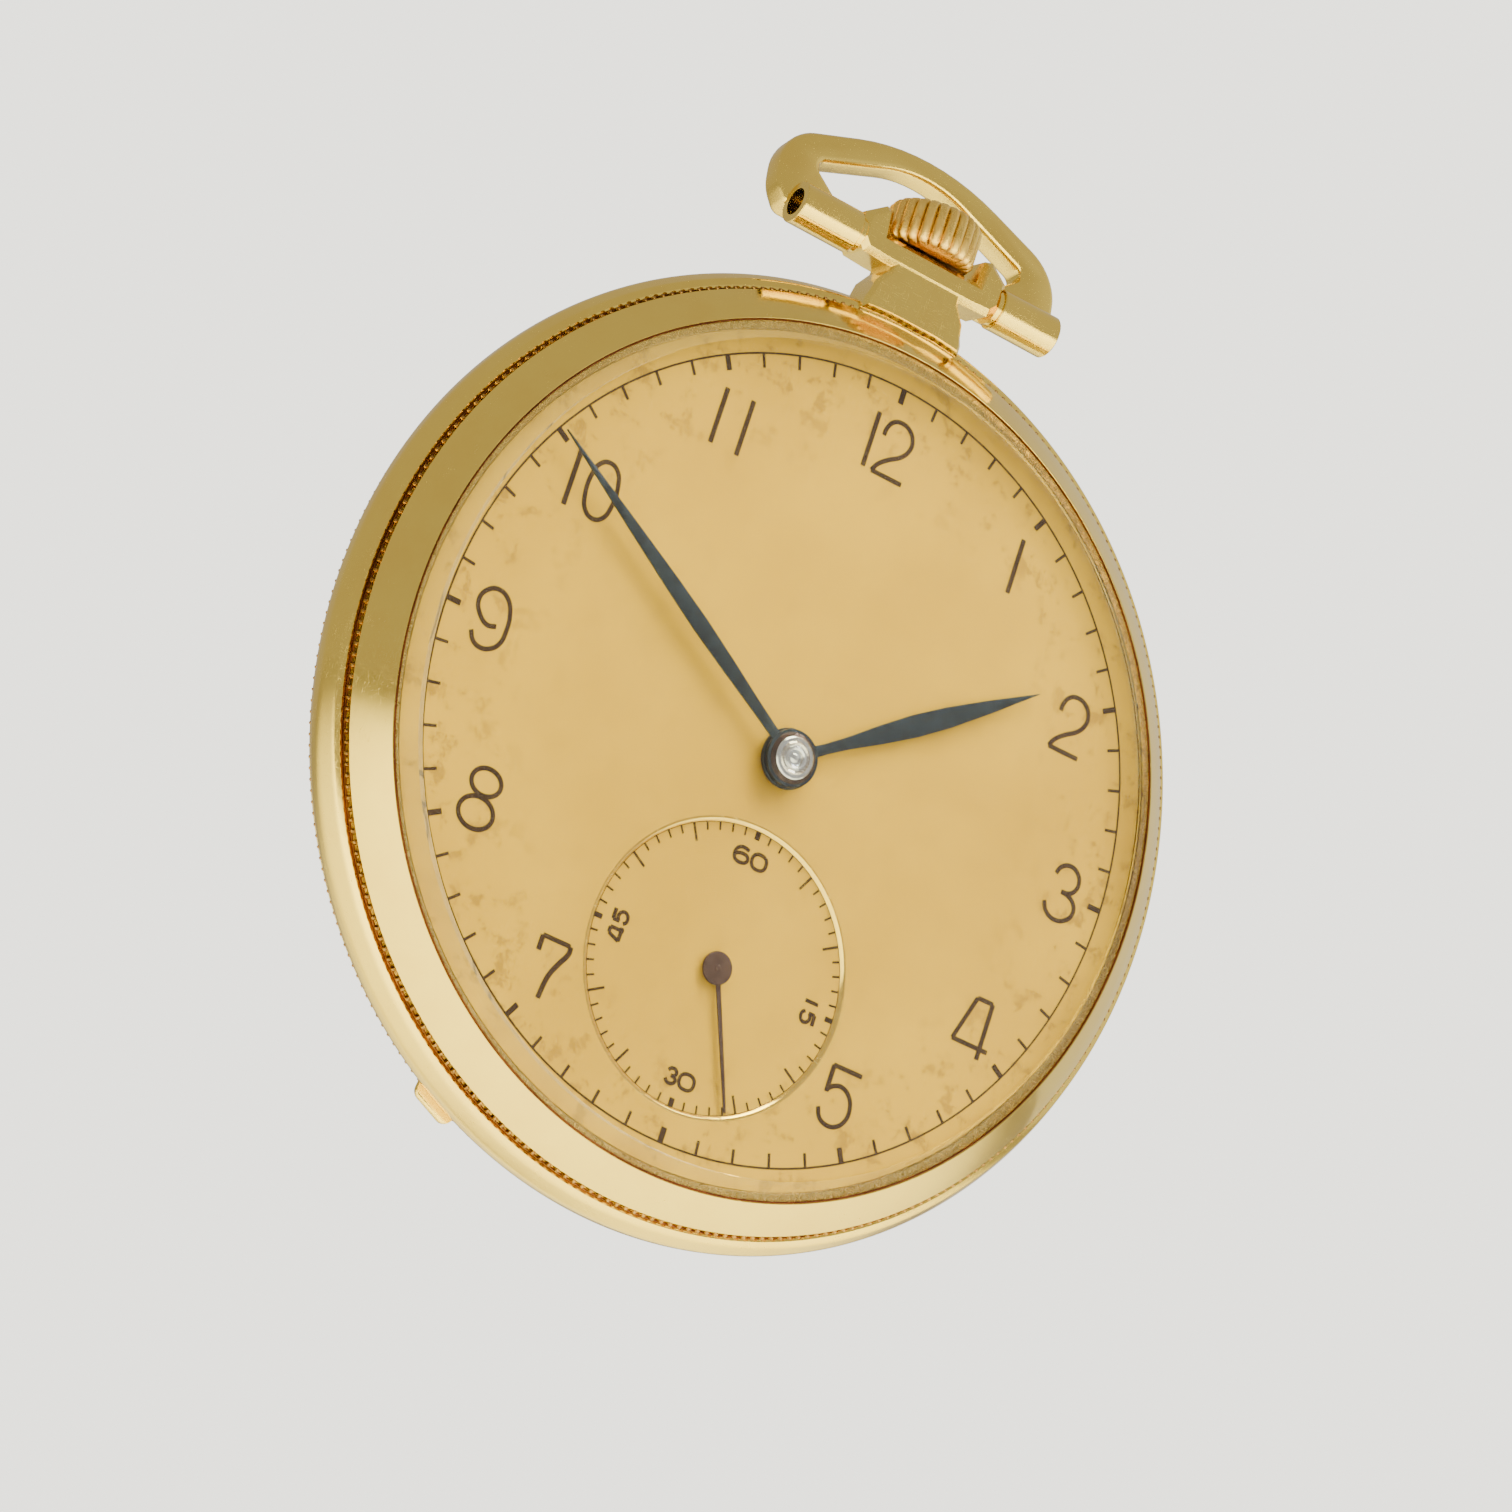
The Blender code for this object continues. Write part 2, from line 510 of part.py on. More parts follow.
def hand(name, outline, hub, hole, near, far, angle, material, point=CENTRE):
    piece = place(name, slab([outline], near, far), material, at(point))
    join(piece, rod(hub, near - 0.02, far + 0.02, 20))
    cut(piece, rod(hole, near - 1, far + 1, 16))
    piece.rotation_euler.y = radians(angle)


MINUTE_HAND_ANGLE = 300.0                  # shows ten minutes to two
HOUR_HAND_ANGLE = 55.0
SECONDS_HAND_ANGLE = 156.0
MINUTE_HAND_FRONT = -0.74
HOUR_HAND_FRONT = -0.46
CANNON_RADIUS = 0.65
HOUR_PIPE = 1.0


def make_hands(blued, plum):
    hand("minute_hand", leaf(19.5, 0.9, 0.3, 0.62, 8.0), 1.45, CANNON_RADIUS + 0.02,
         MINUTE_HAND_FRONT, MINUTE_HAND_FRONT + 0.12, MINUTE_HAND_ANGLE, blued)
    hand("hour_hand", leaf(15.0, 1.0, 0.35, 0.85, 7.0), 1.55, HOUR_PIPE + 0.02,
         HOUR_HAND_FRONT, HOUR_HAND_FRONT + 0.16, HOUR_HAND_ANGLE, blued)
    hand("seconds_hand", leaf(6.9, 0.3, 0.14, 0.17, 0.8), 0.82, 0.17,
         -0.14, -0.04, SECONDS_HAND_ANGLE, plum, FOURTH)


# ---- motion work ---------------------------------------------------------------------------------
def make_motion_work(brass, steel):
    """Cannon pinion, minute wheel and hour wheel: twelve to one, under the dial."""
    hour_level, minute_level = PLATE_FRONT + 0.08, PLATE_FRONT + 0.42
    cannon = place("cannon_pinion", turned([(0.39, -0.95), (0.75, -1.06), (CANNON_RADIUS + 0.25, -0.98),
                                            (CANNON_RADIUS + 0.25, MINUTE_HAND_FRONT - 0.04),
                                            (CANNON_RADIUS, MINUTE_HAND_FRONT - 0.04),
                                            (CANNON_RADIUS, minute_level + 0.35), (0.39, minute_level + 0.35)],
                                           24), steel)
    join(cannon, slab([toothed(CANNON_LEAVES, MINUTE_MODULE, 0), circle(0.45, 20)],
                      minute_level, minute_level + 0.3))
    minute = place("minute_wheel", slab([toothed(MINUTE_TEETH, MINUTE_MODULE,
                                                 mesh_angle(MINUTE, CENTRE, MINUTE_TEETH, CANNON_LEAVES, 0)),
                                         circle(0.25, 16)], minute_level + 0.03, minute_level + 0.27),
                   brass, at(MINUTE))
    join(minute, slab([toothed(MINUTE_LEAVES, HOUR_MODULE, 0), circle(0.25, 16)],
                      hour_level, minute_level + 0.1))
    first = mesh_angle(CENTRE, MINUTE, HOUR_TEETH, MINUTE_LEAVES, 0)
    bore_radius = CANNON_RADIUS + RUNNING_GAP
    hour = place("hour_wheel", slab([toothed(HOUR_TEETH, HOUR_MODULE, first), circle(bore_radius, 24)],
                                    hour_level + 0.02, hour_level + 0.26), brass)
    join(hour, rod(HOUR_PIPE, HOUR_HAND_FRONT + 0.02, hour_level + 0.15, 24, bore_radius))


# ---- plates and bridges --------------------------------------------------------------------------
def sector(radius, from_angle, to_angle, steps=14):
    return [tuple(polar(radius, from_angle + (to_angle - from_angle) * i / steps)) for i in range(steps + 1)]


SCREW_SHANK, SCREW_HEAD = 0.4, 0.75
BARREL_FOOT_ANGLES = (20.0, 50.0)
TRAIN_FOOT_ANGLES = (196.0, 226.0)
BRIDGE_REACH = PLATE_RADIUS - 2.6          # the bridges end in one arc
BARREL_SCREWS = (polar(BRIDGE_REACH - 1.4, 35), polar(BRIDGE_REACH - 1.6, 173.5))
TRAIN_SCREWS = (polar(BRIDGE_REACH - 1.4, 211), polar(BRIDGE_REACH - 1.1, 284))
COCK_SCREW = polar(BRIDGE_REACH - 1.8, 357)
CASE_SCREWS = (polar(PLATE_RADIUS - 0.7, 62), polar(PLATE_RADIUS - 0.7, 242))
CLICK_ANGLE = 210.0                        # where the click meets the ratchet wheel
STEM_SLOT = 1.9                            # half width of the slot for the winding pinions


def make_plates(nickel):
    plate = place("main_plate", turned([(0, PLATE_FRONT), (FLANGE_RADIUS, PLATE_FRONT),
                                        (FLANGE_RADIUS, PLATE_FRONT + 0.32), (PLATE_RADIUS, PLATE_FRONT + 0.32),
                                        (PLATE_RADIUS, PLATE_BACK), (0, PLATE_BACK)]), nickel)
    holes = [(0.6, CENTRE), (0.2, THIRD), (0.3, FOURTH), (0.16, ESCAPE), (0.16, PALLET), (0.16, BALANCE),
             (0.84, BARREL)]
    holes += [(SCREW_SHANK + 0.03, spot) for spot in (*BARREL_SCREWS, *TRAIN_SCREWS, COCK_SCREW)]
    holes += [(SCREW_SHANK + 0.03, spot) for spot in CASE_SCREWS]
    cut(plate, *[bore(radius, spot) for radius, spot in holes])
    recess = MOTION_REACH / 2 + HOUR_MODULE * HOUR_TEETH / 2 + 0.4
    cut(plate, moved(rod(recess, 0, PLATE_FRONT + 0.86, 40), x=MINUTE.x / 2, z=MINUTE.y / 2),
        block(-3.2, 5.0, 0, PLATE_FRONT + 0.4, WINDING_PLACE - 2.3, WINDING_PLACE + 2.0),
        block(-STEM_SLOT, STEM_SLOT, 0, 4, WINDING_PLACE - 2.6, WINDING_PLACE + 1.25),
        block(-STEM_RADIUS - 0.2, STEM_RADIUS + 0.2, 0, 4, WINDING_PLACE, PLATE_RADIUS + 2))
    join(plate, moved(rod(0.21, PLATE_FRONT + 0.1, PLATE_BACK - 0.2, 16), x=MINUTE.x, z=MINUTE.y))

    foot_front, top = PLATE_BACK + SEAT_GAP, BRIDGE_FRONT
    notch = WINDING_PLACE + 0.4
    right = [point for point in sector(BRIDGE_REACH, 7, 88, 16) if point[0] > STEM_SLOT + 0.2]
    left = [point for point in sector(BRIDGE_REACH, 92, 180, 16) if point[0] < -STEM_SLOT - 0.2]
    outline = right + [(STEM_SLOT + 0.2, notch), (-STEM_SLOT - 0.2, notch)] + left
    outline += fitted([(-7.0, -1.6), (1.6, -1.6), (2.6, 0.2)])
    bridge = place("barrel_bridge", slab([outline], top, BRIDGE_BACK), nickel)
    foot = [*sector(BRIDGE_REACH, *BARREL_FOOT_ANGLES, 6),
            *reversed(sector(BRIDGE_REACH - 4.2 * CALIBRE, *BARREL_FOOT_ANGLES, 6))]
    join(bridge, slab([foot], foot_front, top + 0.1), pillar(BARREL_SCREWS[1], 1.15, foot_front, top + 0.1))
    cut(bridge, bore(0.44, CENTRE), bore(0.84, BARREL), bore(0.4 * CALIBRE, CROWN_WHEEL),
        *[bore(SCREW_SHANK + 0.03, spot) for spot in BARREL_SCREWS],
        bore(RATCHET_MODULE * CROWN_WHEEL_TEETH / 2 + 0.28, CROWN_WHEEL, BRIDGE_BACK - 0.42),
        block(-1.0, 1.0, 0, top + 0.3, WINDING_PLACE - 2.3, WINDING_PLACE + 3))

    outline = fitted([(-8.2, -2.0), (1.4, -2.0), (1.9, -5.0), (5.4, -9.6), (7.3, -14.0)])
    outline += list(reversed(sector(BRIDGE_REACH, 196, 291))) + fitted([(-13.0, -4.6)])
    bridge = place("train_bridge", slab([outline], top, BRIDGE_BACK), nickel)
    foot = [*sector(BRIDGE_REACH, *TRAIN_FOOT_ANGLES, 6),
            *reversed(sector(BRIDGE_REACH - 3.4 * CALIBRE, *TRAIN_FOOT_ANGLES, 6))]
    join(bridge, slab([foot], foot_front, top + 0.1), pillar(TRAIN_SCREWS[1], 1.0, foot_front, top + 0.1))
    cut(bridge, *[bore(0.62, spot) for spot in (THIRD, FOURTH, ESCAPE)],
        *[bore(SCREW_SHANK + 0.03, spot) for spot in TRAIN_SCREWS])

    length = (BALANCE - COCK_SCREW).length
    outline = framed((BALANCE - COCK_SCREW).normalized(),
                     [(1.4, -1.5), (2.0, 0), (1.9, length), (1.2, length + 1.6), (-1.2, length + 1.6),
                      (-1.9, length), (-2.0, 0), (-1.4, -1.5)], COCK_SCREW)
    cock = place("balance_cock", slab([outline], top, BRIDGE_BACK), nickel)
    join(cock, pillar(COCK_SCREW, 1.35, foot_front, top + 0.1))
    cut(cock, bore(0.62, BALANCE), bore(SCREW_SHANK + 0.03, COCK_SCREW))

    along = (BALANCE - ESCAPE).normalized()
    outline = framed(along, [(3.3, 0.4), (0, 0.5), (-3.3, 0.4), (-3.3, -0.5), (0, -0.6), (3.3, -0.5)], PALLET)
    bar = place("pallet_bridge", slab([outline], PLATE_BACK + 0.5, PLATE_BACK + 0.66), nickel)
    join(bar, *[pillar(end, 0.42, foot_front, PLATE_BACK + 0.55)
                for end in framed(along, [(2.7, 0), (-2.7, 0)], PALLET)])
    cut(bar, bore(0.16, PALLET))


def pillar(point, radius, near, far):
    return moved(rod(radius, near, far, 20), x=point[0], z=point[1])


def make_fasteners(steel, ruby):
    """Screws of the bridges and of the case, and the jewels of the train."""
    spots = {"barrel_bridge_screw_1": BARREL_SCREWS[0], "barrel_bridge_screw_2": BARREL_SCREWS[1],
             "train_bridge_screw_1": TRAIN_SCREWS[0], "train_bridge_screw_2": TRAIN_SCREWS[1],
             "balance_cock_screw": COCK_SCREW}
    for name, spot in spots.items():
        screw = place(name, turned([(0, PLATE_BACK - 0.7), (SCREW_SHANK, PLATE_BACK - 0.7),
                                    (SCREW_SHANK, BRIDGE_BACK + SEAT_GAP), (SCREW_HEAD, BRIDGE_BACK + SEAT_GAP),
                                    (SCREW_HEAD, BRIDGE_BACK + 0.3), (0, BRIDGE_BACK + 0.3)], COARSE), steel, at(spot))
        cut(screw, block(-1, 1, BRIDGE_BACK + 0.18, 9, -0.09, 0.09))
    for number, spot in enumerate(CASE_SCREWS, 1):
        head = PLATE_BACK + SEAT_GAP
        screw = place(f"case_screw_{number}", turned([(0, PLATE_FRONT + 0.3), (SCREW_SHANK, PLATE_FRONT + 0.3),
                                                      (SCREW_SHANK, head), (0.95, head), (0.95, head + 0.35),
                                                      (0, head + 0.35)], COARSE), steel, at(spot))
        cut(screw, block(-1.2, 1.2, head + 0.22, 9, -0.1, 0.1))
    for name, spot in {"third_jewel": THIRD, "fourth_jewel": FOURTH, "escape_jewel": ESCAPE,
                       "balance_jewel": BALANCE}.items():
        place(name, turned([(0.14, BRIDGE_FRONT + 0.05), (0.6, BRIDGE_FRONT + 0.05), (0.6, BRIDGE_BACK - 0.25),
                            (0.3, BRIDGE_BACK - 0.25), (0.14, BRIDGE_BACK - 0.5)], COARSE), ruby, at(spot))


# ---- going train ---------------------------------------------------------------------------------
LOW, MIDDLE, HIGH = PLATE_BACK + 0.1, PLATE_BACK + 0.68, PLATE_BACK + 1.15
PIVOT = 0.1


def arbor(radius, pivot, near, far):
    """Staff with thinner pivots that run in the plate and in the bridge."""
    return turned([(0, near), (pivot, near), (pivot, PLATE_BACK + 0.06), (radius, PLATE_BACK + 0.06),
                   (radius, BRIDGE_FRONT - 0.02), (pivot, BRIDGE_FRONT - 0.02), (pivot, far), (0, far)], 16)


def spokes(inner, outer, count, width, first=0.0):
    """Windows between the spokes of a wheel."""
    windows = []
    for number in range(count):
        start = first + number * 360 / count
        span = 360 / count
        gap_in, gap_out = degrees(width / inner / 2), degrees(width / outer / 2)
        windows.append([*sector(outer, start + gap_out, start + span - gap_out, 4),
                        *reversed(sector(inner, start + gap_in, start + span - gap_in, 2))])
    return windows


def make_train(brass, steel, alloy):
    pivot_back = BRIDGE_BACK - 0.45
    centre_first = 0.0
    barrel_first = mesh_angle(BARREL, CENTRE, BARREL_TEETH, CENTRE_LEAVES, centre_first)
    third_first = mesh_angle(THIRD, CENTRE, THIRD_LEAVES, CENTRE_TEETH, centre_first)
    fourth_first = mesh_angle(FOURTH, THIRD, FOURTH_LEAVES, THIRD_TEETH, third_first)
    escape_first = mesh_angle(ESCAPE, FOURTH, ESCAPE_LEAVES, FOURTH_TEETH, fourth_first)

    centre = place("centre_wheel", slab([toothed(CENTRE_TEETH, CENTRE_MODULE, centre_first),
                                         *spokes(1.9, 5.0, 5, 0.7)], HIGH, HIGH + 0.22), brass)
    join(centre, slab([toothed(CENTRE_LEAVES, BARREL_MODULE, centre_first)], LOW + 0.4, HIGH + 0.05),
         turned([(0, -0.9), (0.35, -0.9), (0.35, PLATE_FRONT + 0.8), (0.55, PLATE_FRONT + 0.8),
                 (0.55, BRIDGE_FRONT - 0.02), (0.4, BRIDGE_FRONT - 0.02), (0.4, BRIDGE_BACK - 0.1),
                 (0, BRIDGE_BACK - 0.1)], 20))

    third = place("third_wheel", slab([toothed(THIRD_TEETH, THIRD_MODULE, third_first),
                                       *spokes(1.2, 4.4, 5, 0.6)], LOW, LOW + 0.2), brass, at(THIRD))
    join(third, slab([toothed(THIRD_LEAVES, CENTRE_MODULE, third_first)], HIGH - 0.08, HIGH + 0.3),
         arbor(0.3, PIVOT, PLATE_FRONT + 0.3, pivot_back))

    fourth = place("fourth_wheel", slab([toothed(FOURTH_TEETH, FOURTH_MODULE, fourth_first),
                                         *spokes(1.1, 3.7, 5, 0.55)], MIDDLE, MIDDLE + 0.2), brass, at(FOURTH))
    join(fourth, slab([toothed(FOURTH_LEAVES, THIRD_MODULE, fourth_first)], LOW - 0.04, MIDDLE + 0.05),
         turned([(0, -0.12), (0.15, -0.12), (0.15, PLATE_FRONT + 0.1), (0.26, PLATE_FRONT + 0.1),
                 (0.26, BRIDGE_FRONT - 0.02), (PIVOT, BRIDGE_FRONT - 0.02), (PIVOT, pivot_back), (0, pivot_back)],
                16))

    step = 360 / ESCAPE_TEETH
    teeth = []
    for tooth in range(ESCAPE_TEETH):
        teeth += [tuple(polar(ESCAPE_RADIUS - 0.5, tooth * step)), tuple(polar(ESCAPE_RADIUS, tooth * step + 9)),
                  tuple(polar(ESCAPE_RADIUS - 0.5, tooth * step + 7))]
    escape = place("escape_wheel", slab([teeth, *spokes(0.55, 1.35, 4, 0.25)], LOW + 0.12, LOW + 0.27), steel,
                   at(ESCAPE))
    join(escape, slab([toothed(ESCAPE_LEAVES, FOURTH_MODULE, escape_first)], MIDDLE - 0.08, MIDDLE + 0.3),
         arbor(0.2, PIVOT, PLATE_FRONT + 0.4, pivot_back))

    drum_level = LOW + 0.5
    barrel = place("barrel_drum", slab([toothed(BARREL_TEETH, BARREL_MODULE, barrel_first), circle(6.7, MEDIUM)],
                                       drum_level, drum_level + 0.3), brass, at(BARREL))
    join(barrel, turned([(0.9, PLATE_BACK + 0.05), (7.1, PLATE_BACK + 0.05), (7.1, HIGH - 0.1),
                         (6.69, HIGH - 0.1), (6.69, PLATE_BACK + 0.25), (0.9, PLATE_BACK + 0.25)], MEDIUM))
    place("barrel_cover", turned([(0.9, HIGH - 0.27), (6.64, HIGH - 0.27), (6.64, HIGH - 0.1), (0.9, HIGH - 0.1)],
                                 MEDIUM), brass, at(BARREL))
    place("barrel_arbor", turned([(0, PLATE_FRONT + 0.9), (0.8, PLATE_FRONT + 0.9), (0.8, PLATE_BACK + 0.3),
                                  (1.5, PLATE_BACK + 0.3), (1.5, HIGH - 0.32), (0.8, HIGH - 0.32),
                                  (0.8, BRIDGE_BACK + 0.4), (0, BRIDGE_BACK + 0.4)], 24), steel, at(BARREL))
    place("mainspring", spiral(2.0, 6.4, 5, 0.12, PLATE_BACK + 0.3, HIGH - 0.32, 12), alloy, at(BARREL))


def spiral(inner, outer, turns, thickness, near, far, per_turn):
    """Flat spiral ribbon between two radii."""
    count = int(turns * per_turn)
    line = [(inner + (outer - inner) * i / count, 360 * turns * i / count) for i in range(count + 1)]
    outside = [tuple(polar(radius + thickness / 2, angle)) for radius, angle in line]
    inside = [tuple(polar(radius - thickness / 2, angle)) for radius, angle in reversed(line)]
    return slab([outside + inside], near, far)


# ---- escapement ----------------------------------------------------------------------------------
def make_escapement(brass, steel, alloy):
    level = LOW + 0.1
    reach = ESCAPE_TO_BALANCE - ESCAPE_TO_PALLET - 0.65
    half = [(0.2, reach - 0.3), (0.2, reach), (0.42, reach), (0.42, reach - 0.45), (0.14, reach - 0.75),
            (0.14, 1.2), (0.45, 0.45), (1.3, -0.45), (1.45, -0.7), (1.2, -0.85), (0.3, -0.45)]
    piece = place("pallet_fork", slab([framed((BALANCE - ESCAPE).normalized(), mirrored(half))],
                                      level, level + 0.18), steel, at(PALLET))
    join(piece, turned([(0, PLATE_FRONT + 0.4), (PIVOT, PLATE_FRONT + 0.4), (PIVOT, PLATE_BACK + 0.05),
                        (0.22, PLATE_BACK + 0.05), (0.22, PLATE_BACK + 0.46), (PIVOT, PLATE_BACK + 0.46),
                        (PIVOT, PLATE_BACK + 0.64), (0, PLATE_BACK + 0.64)], 16))

    rim = PLATE_BACK + 0.75
    balance = place("balance_wheel", slab([circle(BALANCE_RADIUS, MEDIUM), *spokes(0.9, BALANCE_RADIUS - 0.45, 2, 0.8)],
                                          rim, rim + 0.35), brass, at(BALANCE))
    join(balance, turned([(0, PLATE_FRONT + 0.4), (PIVOT, PLATE_FRONT + 0.4), (PIVOT, PLATE_BACK + 0.04),
                          (0.25, PLATE_BACK + 0.04), (0.25, PLATE_BACK + 0.45), (0.6, PLATE_BACK + 0.45),
                          (0.6, PLATE_BACK + 0.6), (0.32, PLATE_BACK + 0.6), (0.32, BRIDGE_FRONT - 0.03),
                          (PIVOT, BRIDGE_FRONT - 0.03), (PIVOT, BRIDGE_BACK - 0.45), (0, BRIDGE_BACK - 0.45)], 20))
    place("hairspring", spiral(0.5, 2.4, 5, 0.05, BRIDGE_FRONT - 0.3, BRIDGE_FRONT - 0.12, 10), alloy, at(BALANCE))
    arm = framed((COCK_SCREW - BALANCE).normalized(),
                 [(0.12, 2.7), (0.3, 1.0), (0.7, 0.3), (0.6, -0.5), (0.12, -1.1), (-0.12, -1.1), (-0.6, -0.5),
                  (-0.7, 0.3), (-0.3, 1.0), (-0.12, 2.7)])
    place("regulator", slab([arm, circle(0.3, 16)], BRIDGE_BACK + SEAT_GAP, BRIDGE_BACK + 0.18), steel, at(BALANCE))


# ---- winding and setting work --------------------------------------------------------------------
def make_keyless_work(steel):
    wheel_front, wheel_back = BRIDGE_BACK + SEAT_GAP, WHEEL_COVER_BACK
    place("ratchet_wheel", slab([toothed(RATCHET_TEETH, RATCHET_MODULE), circle(0.84, 24)],
                                 wheel_front, wheel_back), steel, at(BARREL))
    place("ratchet_screw", turned([(0, wheel_back + SEAT_GAP), (1.3, wheel_back + SEAT_GAP),
                                   (1.3, wheel_back + 0.25), (0, wheel_back + 0.25)], 24), steel, at(BARREL))
    first = mesh_angle(CROWN_WHEEL, BARREL, CROWN_WHEEL_TEETH, RATCHET_TEETH, 0)
    sunk = BRIDGE_BACK - 0.39
    place("crown_wheel", slab([toothed(CROWN_WHEEL_TEETH, RATCHET_MODULE, first), circle(0.6, 24)],
                               sunk, wheel_back), steel, at(CROWN_WHEEL))
    place("crown_wheel_screw", turned([(0, BRIDGE_FRONT + 0.1), (0.36, BRIDGE_FRONT + 0.1), (0.36, sunk - 0.02),
                                       (0.55, sunk + 0.03), (0.55, wheel_back + SEAT_GAP),
                                       (1.3, wheel_back + SEAT_GAP), (1.3, wheel_back + 0.25),
                                       (0, wheel_back + 0.25)], 24), steel, at(CROWN_WHEEL))

    pinion_axis = (0, PENDANT_DEPTH, WINDING_PLACE)
    hole = circle(STEM_RADIUS - 0.15 + RUNNING_GAP, 20)
    module = 2 * 1.2 / WINDING_TEETH
    place("winding_pinion", turn_to(slab([toothed(WINDING_TEETH, module), hole], -0.55, 0.55), "Z"),
          steel, pinion_axis)
    place("sliding_pinion", turn_to(slab([toothed(WINDING_TEETH, module), hole], -1.65, -0.6), "Z"),
          steel, pinion_axis)

    reach = RATCHET_MODULE * RATCHET_TEETH / 2 + ADDENDUM * RATCHET_MODULE
    out = polar(1, CLICK_ANGLE)
    pivot = BARREL + out * (reach + 1.5)
    beak = framed(out, [(0.5, 0.7), (-0.7, 0.7), (-0.7, -0.5), (0.6, -0.9), (2.1, -1.75), (1.9, -0.9), (0.8, 0.3)])
    click = place("click", slab([beak, circle(0.3, 16)], wheel_front, wheel_front + 0.3), steel, at(pivot))
    strip = framed(out, [(-0.5, 1.25), (3.0, 1.25), (2.95, 0.55), (2.75, 0.5), (2.7, 1.1), (-0.5, 1.1)])
    place("click_spring", slab([strip], wheel_front, wheel_front + 0.15), steel, at(pivot))

    lever_pivot = Vector((3.4, WINDING_PLACE - 0.9))
    lever = [(-0.5, -0.6), (0.6, -0.6), (0.7, 0.5), (-0.4, 0.7), (-2.7, 1.75), (-2.85, 1.45), (-0.9, 0.3)]
    place("setting_lever", slab([lever], PLATE_FRONT + 0.05, PLATE_FRONT + 0.3), steel, at(lever_pivot))


def main():
    clear_scene()
    root = bpy.data.objects.new("dial_centre", None)
    bpy.context.scene.collection.objects.link(root)
    crest_back = BOW_BAR_OFFSET + BOW_BAR_THICKNESS / 2
    crest_depth = BOW_AXIS_DEPTH + BOW_INNER_RISE * sin(LEAN) + crest_back * cos(LEAN)
    crest_height = BOW_AXIS + BOW_INNER_RISE * cos(LEAN) - crest_back * sin(LEAN)
    root.location = (0, -crest_depth * MM, -crest_height * MM)

    gold = finish("yellow_gold", (0.83, 0.66, 0.33), 0.16, 1.0)
    crown_gold = finish("satin_gold", (0.76, 0.53, 0.24), 0.35, 1.0)
    glass = finish("crystal", (0.95, 0.96, 0.97), 0.02, 0.0)
    glass.node_tree.nodes["Principled BSDF"].inputs["Alpha"].default_value = 0.25
    champagne = finish("champagne_dial", (0.66, 0.47, 0.2), 0.5, 0.4)
    blued = finish("blued_steel", (0.05, 0.07, 0.11), 0.3, 0.9)
    plum = finish("plum_steel", (0.12, 0.06, 0.07), 0.35, 0.8)
    nickel = finish("nickel_silver", (0.7, 0.68, 0.62), 0.3, 1.0)
    brass = finish("gilt_brass", (0.75, 0.56, 0.25), 0.3, 1.0)
    steel = finish("polished_steel", (0.55, 0.55, 0.56), 0.2, 1.0)
    alloy = finish("spring_alloy", (0.3, 0.34, 0.4), 0.3, 0.9)
    ruby = finish("ruby", (0.55, 0.03, 0.09), 0.1, 0.0)

    make_case(gold, glass)
    make_pendant(gold)
    make_bow(gold, steel)
    make_crown(crown_gold, steel)
    make_dial(champagne)
    make_hands(blued, plum)
    make_motion_work(brass, steel)
    make_plates(nickel)
    make_fasteners(steel, ruby)
    make_train(brass, steel, alloy)
    make_escapement(brass, steel, alloy)
    make_keyless_work(steel)
    weld_seams()


main()
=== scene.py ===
"""Looks of the open face pocket watch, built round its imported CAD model.

Lengths below are in millimetres in the watch's own frame: x towards 3 o'clock, z towards 12 o'clock
and depth backwards from the dial's front surface, all from the dial's centre.
"""
import json
from math import cos, pi, radians, sin, sqrt

import bmesh
import bpy
from mathutils import Matrix, Vector


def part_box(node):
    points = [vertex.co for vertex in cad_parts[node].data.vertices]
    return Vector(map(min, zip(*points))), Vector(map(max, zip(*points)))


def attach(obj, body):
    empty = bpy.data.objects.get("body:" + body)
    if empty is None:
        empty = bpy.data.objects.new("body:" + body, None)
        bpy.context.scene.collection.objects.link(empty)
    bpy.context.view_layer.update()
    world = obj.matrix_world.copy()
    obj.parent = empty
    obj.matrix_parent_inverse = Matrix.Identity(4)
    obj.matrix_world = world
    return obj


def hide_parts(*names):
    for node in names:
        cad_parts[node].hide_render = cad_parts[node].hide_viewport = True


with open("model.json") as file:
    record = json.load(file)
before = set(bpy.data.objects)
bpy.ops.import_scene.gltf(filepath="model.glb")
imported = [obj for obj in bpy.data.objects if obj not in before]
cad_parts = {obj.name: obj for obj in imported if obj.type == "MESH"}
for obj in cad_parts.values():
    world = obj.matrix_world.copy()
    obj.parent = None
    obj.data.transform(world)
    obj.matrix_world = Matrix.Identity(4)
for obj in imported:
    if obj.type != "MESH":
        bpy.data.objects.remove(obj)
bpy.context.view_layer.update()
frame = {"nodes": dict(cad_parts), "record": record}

MM = 0.001
dial_low, dial_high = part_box("dial")
DIAL_CENTRE = Vector((0.0, dial_low[1], (dial_low[2] + dial_high[2]) / 2))

# ---- sizes shared with the case, mm ----------------------------------------------------------------
TRACK = 19.75                     # radius of the minute circle
DIAL_RADIUS = 20.9
DIAL_BORE = 1.25                  # hole of the hands
SECONDS_AT = (0.0, -10.86)        # x, z of the seconds arbor
SECONDS_DISC = 7.2                # radius of the seconds dial
SECONDS_SINK = 0.15               # its depth below the dial
BEZEL_BORE = 21.0
CRYSTAL_SEAT = 21.33
BEZEL_EDGE = 23.12
CASE_RADIUS = 24.0
BAND_FRONT = 1.25
BAND_BACK = 3.65
BACK_EDGE = 23.62                 # radius where the back cover meets the band
STEM_DEPTH = 2.2
NECK_FOOT = 24.0
HEAD_FOOT = 25.75
HEAD_TOP = 28.5
BOW_AXIS = Vector((0.0, 1.88, 26.63))
BOW_LEAN = radians(16)
CROWN_FOOT = 27.27
